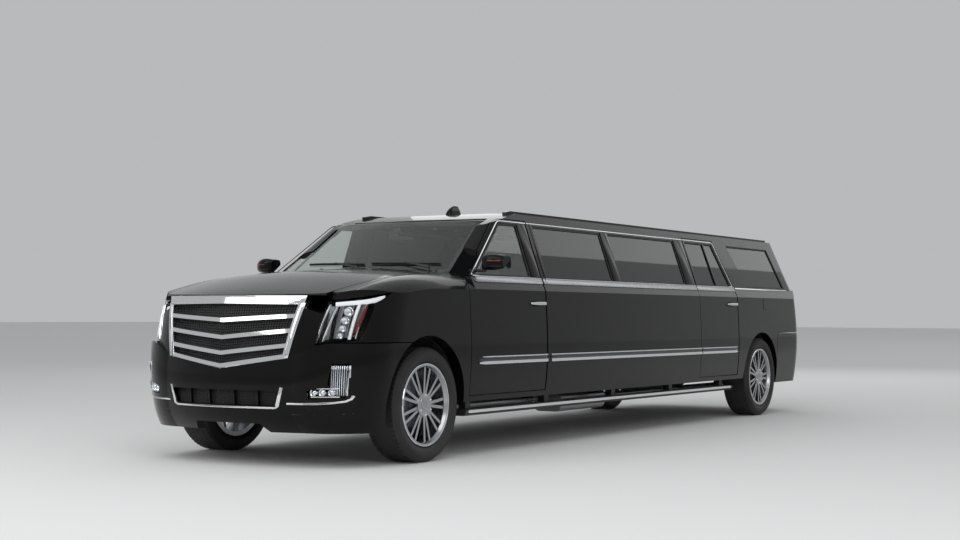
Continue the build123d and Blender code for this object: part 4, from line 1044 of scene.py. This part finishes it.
# broad bright trim across the tailgate, its grip below and the bare plate recess
path = [from_end("tailgate", x, 1.205, False, 0.005) for x in spread(-0.655, 0.655, 21)]
bar = strip(path, (0, 0, 0.034), (0, 0.014, 0), [0.7, *[1] * 19, 0.7])
done(bar, "tailgate_bar", CHROME, "tailgate", 0.004, 3)
path = [from_end("tailgate", x, 1.182, False, 0.002) for x in spread(-0.20, 0.20, 9)]
done(strip(path, (0, 0, 0.012), (0, 0.012, 0)), "tailgate_grip", PLASTIC, "tailgate", 0.003)
for name, wide, high, proud, thick, material in (
    ("plate_frame", 0.272, 0.088, 0.001, 0.006, TRIM_BLACK), ("plate_recess", 0.252, 0.070, 0.0036, 0.003, PLASTIC)
):
    sheet = grid(24, 8, lambda u, v: from_end("tailgate", wide * (u * 2 - 1), 1.0725 + high * (v * 2 - 1), False,
        proud))
    modify(sheet, "SOLIDIFY", thickness=thick, offset=0)
    done(sheet, name, material, "tailgate", 0.001)
for side, way in SIDES:
    path = [from_end("tailgate", way * x, 1.153, False, 0.008) for x in (0.12, 0.15, 0.18)]
    done(strip(path, (0, 0, 0.012), (0, 0.010, 0)), f"plate_lamp_{side}", GLOW_WHITE, "tailgate", 0.002)
    bolt_place = from_end("tailgate", way * 0.15, 1.02, False, 0.006)
    profile = ((-0.002, 0), (-0.002, 0.0075), (0.002, 0.0072), (0.0035, 0.005), (0.0035, 0))
    done(lathe(bolt_place, ALONG_Y, profile, 12), f"plate_bolt_{side}", STEEL, "tailgate")

# rear screen: band printed round its edge, wiper and high brake light
for name, path in (
    ("head", [(-0.535, 1.726), (0, 1.727), (0.535, 1.726)]), ("foot", [(-0.60, 1.382), (0, 1.380), (0.60, 1.382)]),
    ("left", [(0.598, 1.384), (0.540, 1.724)]), ("right", [(-0.598, 1.384), (-0.540, 1.724)]),
):
    outline = ribbon(finer(path, 0.08), 0.022)
    points = [from_end("tailgate_glass", p.x, p.y, False, 0.0004) for p in outline]
    done(plate(points, (0, 0.0012, 0)), f"rear_band_{name}", SEAL, "tailgate")
blade = [from_end("tailgate_glass", x, 1.405 + 0.004 * i / 8, False, 0.020) for i,
    x in enumerate(spread(0.04, 0.40, 9))]
done(strip(blade, (0, 0, 0.012), (0, 0.008, 0), [0.5, 0.9, 1, 1, 1, 1, 1, 0.9, 0.5]), "rear_wiper_blade", PLASTIC,
    "tailgate", 0.001)
edge = strip([p - Vector((0, 0.010, 0)) for p in blade], (0, 0, 0.004), (0, 0.013, 0))
done(edge, "rear_wiper_edge", SEAL, "tailgate")
foot = from_end("tailgate", 0.0, 1.352, False, 0.0)
arm = strip([foot, foot + Vector((0, 0.022, 0.004)), foot + Vector((0.10, 0.026, 0.036)),
    blade[4] + Vector((0, 0.006, 0))],
            (0, 0, 0.022), (0, 0.014, 0), [1.3, 1.2, 0.9, 0.6])
done(arm, "rear_wiper_arm", PLASTIC, "tailgate", 0.002)
path = [from_end("tailgate", x, 1.842, False, 0.002) for x in spread(-0.19, 0.19, 7)]
done(strip(path, (0, 0, 0.018), (0, 0.008, 0), [0.8, 1, 1, 1, 1, 1, 0.8]), "high_brake_light", RED_LENS, "tailgate",
    0.002)

# ribbed step pad on the bumper, lower valance and exhaust tip
ribs = []
for y in spread(1.262, 1.318, 5):
    path = [Vector((x, REAR_AXLE + y - 0.045 * (x / 0.7) ** 2, 0.8625)) for x in spread(-0.52, 0.52, 9)]
    ribs.append(strip(path, (0, 0.007, 0), (0, 0, 0.005)))
done(joined(ribs), "bumper_step_ribs", RUBBER, "chassis", 0.0012)
path = [from_end("rear_bumper", x, 0.425, False, 0.003) for x in spread(-0.66, 0.66, 15)]
valance = strip(path, (0, 0, 0.090), (0, 0.008, 0), [0.6, *[1] * 13, 0.6])
done(valance, "rear_valance", PLASTIC, "chassis", 0.003)
path = [from_end("rear_bumper", x, 0.482, False, 0.003) for x in spread(-0.70, 0.70, 17)]
done(strip(path, (0, 0, 0.010), (0, 0.008, 0)), "rear_chrome_line", CHROME, "chassis", 0.002)
centre = Vector((0.540, REAR_AXLE + 1.150, 0.310))
profile = ((-0.01, 0.033), (-0.01, 0.037), (0.05, 0.044), (0.158, 0.046), (0.162, 0.044), (0.158, 0.041), (0.05, 0.039),
    (-0.01, 0.033))
done(lathe(centre, ALONG_Y, profile, 32), "exhaust_tip", CHROME, "chassis")


# ---------------------------------------------------------------- padded seats
DRIVER_X = 0.430
PAD_VOXEL = 0.017  # grid of a pad's skin before it is smoothed
SWELL_FRAMES = 20
SWELL_PRESSURE = 4.0
CHANNEL_DEEP, CHANNEL_WIDE = 0.010, 0.022
LYING = radians(-90)  # turns a pad's face from -Y to +Z
UPRIGHT_CHANNELS = [(0, 0.175), (0, -0.175)]  # at x


def pushed_in(piece, lines):
    """Sews channels into a pad's face: lines are pairs of (0 for x or 2 for z, place)."""
    for vertex in piece.data.vertices:
        co = vertex.co
        for axis, at in lines:
            away = abs(co[axis] - at)
            if away < CHANNEL_WIDE and co.y < 0:
                co.y += CHANNEL_DEEP * (1 - (away / CHANNEL_WIDE) ** 2)


def pad(name, size, lines, cap):
    """Pad facing -Y round the origin: rounded block, swollen as cloth, then sewn and smoothed."""
    piece = block((0, 0, 0), size)
    modify(piece, "BEVEL", width=min(size) * 0.34, segments=3, limit_method="NONE")
    modify(piece, "REMESH", mode="VOXEL", voxel_size=PAD_VOXEL)
    before = [v.co.copy() for v in piece.data.vertices]
    cloth = piece.modifiers.new("swell", "CLOTH")
    cloth.settings.use_pressure = True
    cloth.settings.uniform_pressure_force = SWELL_PRESSURE
    cloth.settings.effector_weights.gravity = 0.0
    cloth.settings.quality = 4
    for number in range(1, SWELL_FRAMES + 1):
        bpy.context.scene.frame_set(number)
    choose(piece)
    bpy.ops.object.modifier_apply(modifier=cloth.name)
    bpy.context.scene.frame_set(1)
    for vertex, start in zip(piece.data.vertices, before):
        moved = vertex.co - start
        if moved.length > cap:
            vertex.co = start + moved.normalized() * cap
    pushed_in(piece, lines)
    modify(piece, "SUBSURF", levels=1, render_levels=1)
    piece.name = name
    return piece


def seated(pattern, name, place, tip, turn, size, node):
    """Copy of a pad, tipped back about X, turned about Z, sized and set in its place; the model part it replaces is
    hidden.
    """
    choose(pattern)
    bpy.ops.object.duplicate()
    piece = bpy.context.object
    piece.scale = size
    bpy.ops.object.transform_apply(location=False, rotation=False, scale=True)
    piece.rotation_euler = (tip, 0, turn)
    piece.location = place
    done(piece, name, LEATHER, "chassis", smooth=60)
    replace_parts(piece, node)
    return piece


cushion = pad("cushion_pattern", (0.535, 0.120, 0.385), [*UPRIGHT_CHANNELS, (2, 0.06), (2, -0.06)], 0.012)
squab = pad("squab_pattern", (0.535, 0.085, 0.395), [*UPRIGHT_CHANNELS, (2, 0.10), (2, 0.0), (2, -0.10)], 0.010)
head_pad = pad("head_pattern", (0.235, 0.075, 0.140), [(2, 0.0)], 0.008)

for side, way in SIDES:
    x = way * DRIVER_X
    seated(cushion, f"front_cushion_{side}", (x, fore(1385), 0.812), LYING + radians(3), 0, (0.90, 1, 1), "front_seats")
    seated(squab, f"front_squab_{side}", (x, fore(1690), 1.080), radians(-18), 0, (0.88, 1, 1.03), "front_seats")
    seated(head_pad, f"front_headrest_{side}", (x, fore(1790), 1.395), radians(-8), 0, (1, 1, 1), "front_seats")
    posts = [tube([(x + dx, fore(1772), 1.28), (x + dx, fore(1782), 1.33), (x + dx, fore(1790), 1.375)], 0.006,
        8) for dx in (-0.06, 0.06)]
    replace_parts(done(joined(posts), f"headrest_posts_{side}", CHROME, "chassis"), "front_seats")
    shell = [(x, fore(1672), 0.80), (x, fore(1700), 0.90), (x, fore(1762), 1.10), (x, fore(1808), 1.275)]
    shell = strip(shell, (0.44, 0, 0), (0, 0.036, 0), [0.94, 1, 1, 0.86])
    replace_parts(done(shell, f"seat_back_shell_{side}", PLASTIC, "chassis", 0.012, 3), "front_seats")
    pan = strip([(x, fore(1190), 0.690), (x, fore(1215), 0.686), (x, fore(1640), 0.676), (x, fore(1700), 0.72)],
                (0.47, 0, 0), (0, 0, 0.10), [0.8, 1, 1, 0.8])
    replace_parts(done(pan, f"seat_pan_{side}", PLASTIC, "chassis", 0.014, 3), "front_seats")
    rails = [strip([(x + dx, fore(1210), 0.600), (x + dx, fore(1700), 0.592)], (0.045, 0, 0),
        (0, 0, 0.065)) for dx in (-0.19, 0.19)]
    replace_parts(done(joined(rails), f"seat_rails_{side}", STEEL, "chassis", 0.004), "front_seats")

# side bench: four modules on a plinth, with a lit strip under their edge
for number, y in enumerate(spread(fore(2250) + 0.294, fore(4600) - 0.294, 4)):
    seated(cushion, f"bench_cushion_{number}", (-0.515, y, 0.812), LYING, radians(90), (1.03, 1, 0.93), "lounge_seats")
    seated(squab, f"bench_squab_{number}", (-0.755, y, 1.085), radians(-11), radians(90), (1.03, 0.92, 1.0),
        "lounge_seats")
plinth = strip([(-0.59, fore(2262), 0.642), (-0.59, fore(3400), 0.642), (-0.59, fore(4588), 0.642)], (0.50, 0, 0),
    (0, 0, 0.162))
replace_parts(done(plinth, "bench_plinth", LEATHER, "chassis", 0.012, 3), "lounge_seats")
board = strip([(-0.828, fore(2262), 1.0), (-0.828, fore(4588), 1.0)], (0.032, 0, 0), (0, 0, 0.52))
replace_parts(done(board, "bench_back_board", PLASTIC, "chassis", 0.008), "lounge_seats")
line = strip([(-0.336, fore(2275), 0.712), (-0.336, fore(4575), 0.712)], (0.008, 0, 0), (0, 0, 0.012))
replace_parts(done(line, "bench_light_line", GLOW_WHITE, "chassis", 0.002), "lounge_seats")

# rear bench: two places on a boxed base
for number, x in enumerate((-0.283, 0.283)):
    seated(cushion, f"rear_cushion_{number}", (x, REAR_AXLE - 0.110, 1.045), LYING + radians(3), 0, (1.03, 1, 1.03),
        "lounge_seats")
    seated(squab, f"rear_squab_{number}", (x, REAR_AXLE + 0.160, 1.190), radians(-24), 0, (1.03, 1, 0.62),
        "lounge_seats")
box = strip([(0, REAR_AXLE - 0.280, 0.880), (0, REAR_AXLE + 0.0, 0.878), (0, REAR_AXLE + 0.235, 0.876)], (1.12, 0, 0),
    (0, 0, 0.176))
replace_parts(done(box, "rear_bench_base", LEATHER, "chassis", 0.014, 3), "lounge_seats")
for pattern in (cushion, squab, head_pad):
    bpy.data.objects.remove(pattern)


# ---------------------------------------------------------------- cabin fittings
def from_inside(name, y, z, way, proud=0.0):
    """Place on a panel's inner face, seen from the cabin."""
    for dz in (0, 0.01, -0.01, 0.03):
        hit, place, _, _ = nodes[name].ray_cast(Vector((0.55 * way, y, z + dz)), Vector((way, 0, 0)))
        if hit:
            return Vector((place.x - way * proud, y, z))
    raise ValueError(f"{name} has no inner face at {y:.3f}, {z:.3f}")


for side, way in SIDES:
    for name, y0, y1 in ((f"front_door_{side}", 640, 1640), (f"rear_door_{side}", 4840, 5620)):
        # card over the door's inner face, its armrest, pull, speaker and bright release
        face = min(abs(from_inside(name, fore(y), z, way).x) for y in (y0 + 60, (y0 + y1) / 2, y1 - 60) for z in (0.70,
            0.95, 1.22))
        x = way * (face - 0.004)
        outline = [
            (y0, 0.62), (y0 + 8, 1.27), (y0 + 40, 1.30), (y1 - 40, 1.30), (y1 - 8, 1.27), (y1, 0.62), (y1 - 40,
                0.59), (y0 + 40, 0.59),
        ]
        card = plate([(x, fore(y), z) for y, z in outline], (-0.010 * way, 0, 0))
        done(card, f"{name}_card", PLASTIC, name, 0.004, 3)
        path = [(x - way * 0.036, fore(y), z) for y, z in ((y0 + 70, 0.975), (y0 + 160, 0.985), ((y0 + y1) / 2, 0.975),
            (y1 - 120, 0.955), (y1 - 40, 0.93))]
        rest = strip(path, (0.066, 0, 0), (0, 0, 0.060), [0.5, 0.9, 1, 1, 0.7])
        done(rest, f"{name}_armrest", LEATHER, name, 0.014, 3)
        path = [(x - way * 0.012, fore(y), 1.085 + dz) for y,
            dz in ((y0 + 60, 0.0), ((y0 + y1) / 2, -0.012), (y1 - 60, -0.02))]
        inlay = strip(path, (0.010, 0, 0), (0, 0, 0.058), [0.9, 1, 0.8])
        done(inlay, f"{name}_inlay", WALNUT, name, 0.003)
        pull = strip([(x - way * 0.020, fore(y), 1.165) for y in (y0 + 150, y0 + 175, y0 + 250, y0 + 265)],
            (0.012, 0, 0), (0, 0, 0.026), [0.8, 1, 1, 0.6])
        done(pull, f"{name}_release", CHROME, name, 0.004, 3)
        centre = Vector((x - way * 0.010, fore(y0 + 190), 0.735))
        profile = ((0, 0.0), (0.005, 0.01), (0.004, 0.078), (0.008, 0.082), (0.008, 0.090), (-0.002, 0.092),
            (-0.002, 0.0))
        done(lathe(centre, ALONG_X, profile, 36, -way), f"{name}_speaker", PLASTIC, name)

    # lining of the long cabin wall under its windows, and a wood rail along its top
    y0, y1 = 1800, 4740
    face = min(abs(from_inside("stretch_panels", fore(y), z, way).x) for y in (1900, 3300, 4650) for z in (0.75, 1.0,
        1.22))
    x = way * (face - 0.003)
    lining = plate([(x, fore(y), z) for y, z in ((y0, 0.60), (y0, 1.30), (y1, 1.30), (y1, 0.60))], (-0.010 * way, 0, 0))
    done(lining, f"cabin_lining_{side}", LEATHER, "chassis", 0.004)
    rail = strip([(x - way * 0.014, fore(y), 1.272) for y in (y0 + 20, (y0 + y1) / 2, y1 - 20)], (0.012, 0, 0),
        (0, 0, 0.036))
    done(rail, f"cabin_rail_{side}", WALNUT, "chassis", 0.004)

# headliner with a line of small lights down each side
liner = grid(6, 30, lambda u, v: Vector(((u - 0.5) * 1.30, fore(1350 + v * 5300), 1.8205 - 0.004 * abs(u - 0.5) * 2)))
modify(liner, "SOLIDIFY", thickness=0.004, offset=0)
done(liner, "headliner", HEADLINER, "chassis", 0.001)
for side, way in SIDES:
    lights = []
    for y in spread(fore(2000), fore(6200), 13):
        centre = Vector((way * 0.50, y, 1.8150))
        profile = ((0.0, 0.0), (-0.0035, 0.002), (-0.0035, 0.014), (-0.006, 0.016), (-0.006, 0.021), (0.001, 0.023),
            (0.001, 0.0))
        lights.append(lathe(centre, ALONG_Z, profile, 16))
    done(joined(lights), f"headliner_lights_{side}", GLOW_WHITE, "chassis")

# dashboard: hooded dials, middle screen, air vents, wood inlay, console, selector, wheel grip and pedals
path = [(DRIVER_X + dx, fore(1000), 1.262 + dz) for dx,
    dz in ((-0.21, -0.035), (-0.17, -0.004), (0, 0.008), (0.17, -0.004), (0.21, -0.035))]
hooding = strip(path, (0, 0.16, 0.02), (0, -0.004, 0.016))
done(hooding, "dial_hood", PLASTIC, "chassis", 0.005, 3)
panel = plate([(DRIVER_X + dx, fore(1010), z) for dx, z in ((-0.19, 1.170), (0.19, 1.170), (0.17, 1.250),
    (-0.17, 1.250))], (0, 0.008, 0))
done(panel, "dial_panel", TRIM_BLACK, "chassis", 0.002)
dials = []
for dx in (-0.10, 0.10):
    centre = Vector((DRIVER_X + dx, fore(1019), 1.210))
    profile = ((0, 0.0), (0.001, 0.028), (0.005, 0.031), (0.005, 0.035), (-0.002, 0.036), (-0.002, 0.0))
    dials.append(lathe(centre, ALONG_Y, profile, 32))
done(joined(dials), "dial_rings", BRUSHED, "chassis")
screen = plate([(dx, fore(1000) + (1.20 - z) * 0.2, z) for dx,
    z in ((-0.12, 1.10), (0.12, 1.10), (0.12, 1.235), (-0.12, 1.235))], (0, 0.016, 0))
done(screen, "dash_screen", TRIM_BLACK, "chassis", 0.004, 3)
for name, x in (("outer_left", 0.80), ("inner_left", 0.185), ("inner_right", -0.185), ("outer_right", -0.80)):
    vents = []
    for z in spread(1.165, 1.215, 5):
        vents.append(strip([(x - 0.045, fore(1004), z), (x + 0.045, fore(1004), z)], (0, 0.022, 0.006), (0, 0, 0.003)))
    done(joined(vents), f"dash_vent_{name}", BRUSHED, "chassis", 0.0008)
line = strip([(x, fore(1008) - 0.03 * abs(x) ** 3, 1.148) for x in spread(-0.86, 0.86, 13)], (0, 0.012, 0),
    (0, 0, 0.022))
done(line, "dash_inlay", WALNUT, "chassis", 0.003)
path = [(0, fore(mm), 0.9875) for mm in (700, 960, 1270)]
console = strip(path, (0.25, 0, 0), (0, 0, 0.014), [0.9, 1, 1])
done(console, "console_top", WALNUT, "chassis", 0.004, 3)
centre = Vector((0.02, fore(1190), 0.994))
profile = ((0, 0.0), (0, 0.034), (0.008, 0.030), (0.012, 0.011), (0.062, 0.009), (0.068, 0.019), (0.094, 0.021),
    (0.102, 0.012), (0.103, 0))
done(lathe(centre, ALONG_Z, profile, 24), "selector", BRUSHED, "chassis")
centre, radius, tilt = Vector((DRIVER_X, fore(1120), 1.095)), 0.182, radians(-60)
turns = spread(0, 2 * pi, 49)[3:22]
path = [centre + Vector((cos(t), sin(t) * cos(tilt), sin(t) * sin(tilt))) * radius for t in turns]
grip = tube(path, 0.0168, 12)
done(grip, "wheel_grip", LEATHER, "chassis")
pads = []
for x, y in ((0.22, 780), (0.35, 780)):
    pads.append(strip([(x, fore(y), 0.700), (x, fore(y - 30), 0.635)], (0.075, 0, 0), (0, 0.010, 0.006)))
done(joined(pads), "pedals", STEEL, "chassis", 0.003)

# bar: door fronts, counter with a bright rail, glasses, an ice bucket and bottles
BAR_TOP = 1.009
fronts = []
for y in (2850, 3150, 3450, 3750):
    fronts.append(plate([(0.5235, fore(yy), z) for yy, z in ((y - 138, 0.60), (y + 138, 0.60), (y + 138, 0.95),
        (y - 138, 0.95))], (-0.012, 0, 0)))
done(joined(fronts), "bar_fronts", WALNUT, "chassis", 0.004, 3)
knobs = []
for y in (2975, 3025, 3575, 3625):
    centre = Vector((0.511, fore(y), 0.80))
    profile = ((0, 0.0), (0, 0.005), (0.012, 0.005), (0.016, 0.011), (0.022, 0.010), (0.024, 0))
    knobs.append(lathe(centre, ALONG_X, profile, 16, -1))
done(joined(knobs), "bar_knobs", CHROME, "chassis")
rail = tube([(0.53, fore(2700), 1.006), (0.53, fore(2700), 1.044), (0.53, fore(2760), 1.046), (0.53, fore(3840), 1.046),
    (0.53, fore(3900), 1.044), (0.53, fore(3900), 1.006)], 0.006, 8)
done(rail, "bar_rail", CHROME, "chassis")
top = plate([(x, fore(y), 1.0035) for x, y in ((0.515, 2688), (0.868, 2688), (0.868, 3912), (0.515, 3912))],
    (0, 0, 0.006))
done(top, "bar_counter", TRIM_BLACK, "chassis", 0.003)
glasses = []
for i in range(6):
    for x in (0.70, 0.80):
        centre = Vector((x, fore(2780 + i * 95), BAR_TOP))
        profile = ((0, 0.0), (0, 0.028), (0.003, 0.027), (0.006, 0.005), (0.075, 0.0035), (0.088, 0.012),
            (0.120, 0.027), (0.170, 0.031), (0.170, 0.029), (0.122, 0.025), (0.092, 0.010), (0.086, 0.0))
        glasses.append(lathe(centre, ALONG_Z, profile, 20))
done(joined(glasses), "bar_glasses", CLEAR, "chassis")
centre = Vector((0.72, fore(3560), BAR_TOP))
profile = ((0, 0.0), (0, 0.075), (0.006, 0.079), (0.16, 0.098), (0.166, 0.103), (0.170, 0.101), (0.165, 0.094),
    (0.012, 0.074), (0.010, 0.0))
done(lathe(centre, ALONG_Z, profile, 36), "ice_bucket", BRUSHED, "chassis")
bottles = []
for x, y in ((0.66, 3740), (0.75, 3800), (0.80, 3700)):
    centre = Vector((x, fore(y), BAR_TOP))
    profile = ((0, 0.0), (0, 0.036), (0.004, 0.039), (0.17, 0.039), (0.20, 0.034), (0.225, 0.016), (0.29, 0.014),
        (0.292, 0.016), (0.306, 0.016), (0.308, 0))
    bottles.append(lathe(centre, ALONG_Z, profile, 20))
done(joined(bottles), "bar_bottles", TINTED, "chassis")

# ---------------------------------------------------------------- under the hood
cover = strip([(0, fore(-420), 1.062), (0, fore(-380), 1.085), (0, fore(60), 1.092), (0, fore(120), 1.075)],
    (0.50, 0, 0), (0, 0, 0.05), [0.9, 1, 1, 0.92])
pick(cover, lambda c, n: n.z > 0.9)
bpy.ops.mesh.inset(thickness=0.035, use_individual=False)
bpy.ops.transform.translate(value=(0, 0, 0.010))
bpy.ops.object.mode_set(mode="OBJECT")
done(cover, "engine_cover", PLASTIC, "chassis", 0.010, 3)
ribs = [strip([(x, fore(-340), 1.122), (x, fore(20), 1.128)], (0.014, 0, 0), (0, 0, 0.010)) for x in spread(-0.15, 0.15,
    5)]
done(joined(ribs), "engine_cover_ribs", BRUSHED, "chassis", 0.002)
for side, way in SIDES:
    # strut top with its nut
    x, y = way * 0.56, fore(-20)
    hit, place, _, _ = nodes["engine_bay"].ray_cast(Vector((x, y, 1.20)), -ALONG_Z)
    base = Vector((x, y, place.z if hit else 0.95))
    profile = ((-0.01, 0), (-0.01, 0.075), (0.012, 0.070), (0.022, 0.045), (0.024, 0.020), (0.040, 0.018), (0.042, 0.0))
    done(lathe(base, ALONG_Z, profile, 32), f"strut_top_{side}", STEEL, "chassis")


def on_bay(x, mm, size, name, material, bevel=0.006, lift=0.0):
    """Box-like unit standing on whatever lies under it in the engine bay."""
    found = []
    for key in ("engine_bay", "engine_block"):
        hit, place, _, _ = nodes[key].ray_cast(Vector((x, fore(mm), 1.16)), Vector((0, 0, -1)))
        if hit:
            found.append(place.z)
    foot = max(found, default=0.80) + lift
    wide, long, high = size
    piece = strip([(x, fore(mm), foot - 0.004), (x, fore(mm), foot + high * 0.88), (x, fore(mm), foot + high)],
                  (wide, 0, 0), (0, long, 0), [1, 1, 0.93])
    done(piece, name, material, "chassis", bevel, 3)
    return Vector((x, fore(mm), foot + high))


top = on_bay(0.56, -330, (0.19, 0.28, 0.19), "battery", PLASTIC)
posts = []
for dy in (-0.09, 0.09):
    base = top + Vector((0.03, dy, -0.002))
    profile = ((0, 0), (0, 0.012), (0.016, 0.010), (0.018, 0))
    posts.append(lathe(base, ALONG_Z, profile, 16))
done(joined(posts), "battery_posts", BRUSHED, "chassis")
top = on_bay(-0.56, -330, (0.20, 0.22, 0.16), "coolant_tank", HEADLINER, 0.02)
profile = ((-0.004, 0), (-0.004, 0.030), (0.004, 0.034), (0.024, 0.034), (0.028, 0.028), (0.028, 0))
done(lathe(top, ALONG_Z, profile, 18), "coolant_cap", PLASTIC, "chassis")
on_bay(-0.55, 180, (0.22, 0.26, 0.15), "air_filter_box", PLASTIC, 0.015)
on_bay(0.55, 220, (0.16, 0.20, 0.12), "fuse_box", PLASTIC, 0.010)
hose = tube([(-0.47, fore(-330), 1.00), (-0.36, fore(-400), 1.03), (-0.28, fore(-470), 1.02),
    (-0.22, fore(-520), 0.97)], 0.024, 12)
done(hose, "radiator_hose", SEAL, "chassis")
duct = tube([(-0.45, fore(150), 1.02), (-0.34, fore(120), 1.05), (-0.25, fore(40), 1.06), (-0.20, fore(-40), 1.06)],
    0.040, 16)
done(duct, "air_duct", PLASTIC, "chassis")


# ---------------------------------------------------------------- stage, light and camera
FLOOR_SIZE = 260
FLOOR_GREY = (0.74, 0.74, 0.74)
ROOM_COLOR, ROOM_STRENGTH = (0.78, 0.79, 0.80, 1), 0.62
FOCAL_MM, SENSOR_MM = 57.8, 36
CAMERA_X, CAMERA_BEFORE_AXLE, CAMERA_Z = 7.104, 9.118, 1.047
HEADING, TIP_UP, ROLL = radians(31.84), radians(1.67), radians(0.25)

deselect()
bpy.ops.mesh.primitive_plane_add(size=FLOOR_SIZE, location=(0, 0, 0))
floor = bpy.context.object
floor.name = "studio_floor"
floor.data.materials.append(finish("studio_floor_grey", FLOOR_GREY, 0.85, level=0.2))

world = bpy.data.worlds.new("studio")
bpy.context.scene.world = world
world.use_nodes = True
sky = world.node_tree.nodes["Background"]
sky.inputs["Color"].default_value = ROOM_COLOR
sky.inputs["Strength"].default_value = ROOM_STRENGTH


def soft_box(name, place, target, size, power):
    lamp = bpy.data.lights.new(name, "AREA")
    lamp.shape = "RECTANGLE"
    lamp.size, lamp.size_y = size
    lamp.energy = power
    holder = bpy.data.objects.new(name, lamp)
    bpy.context.collection.objects.link(holder)
    holder.location = place
    holder.rotation_euler = (Vector(target) - Vector(place)).to_track_quat("-Z", "Y").to_euler()


# name, place, target, size and watts of each lamp
for name, place, target, size, power in (
    ("top_box", (1, -9, 8.5), (0, -2, 0), (14, 9), 520),
    ("rear_box", (-4, 13, 8.0), (0, 3, 0), (12, 9), 240),
    ("window_panel", (9, 32.5, 12.5), (0, 32.5, 12.5), (55, 7.2), 950),
    ("side_box", (11, -9, 5.0), (0, -1, 0.9), (9, 4), 240),
    ("front_box", (-4, -13, 4.5), (0, -3, 0.8), (7, 4), 200),
):
    soft_box(name, place, target, size, power)

lens = bpy.data.cameras.new("camera")
lens.lens = FOCAL_MM
lens.sensor_width = SENSOR_MM
eye = bpy.data.objects.new("camera", lens)
bpy.context.collection.objects.link(eye)
eye.location = (CAMERA_X, FRONT_AXLE - CAMERA_BEFORE_AXLE, CAMERA_Z)
look = Vector((-sin(HEADING) * cos(TIP_UP), cos(HEADING) * cos(TIP_UP), sin(TIP_UP)))
eye.rotation_euler = look.to_track_quat("-Z", "Y").to_euler()
eye.rotation_euler.rotate_axis("Z", ROLL)
bpy.context.scene.camera = eye
bpy.context.scene.view_settings.view_transform = "Standard"
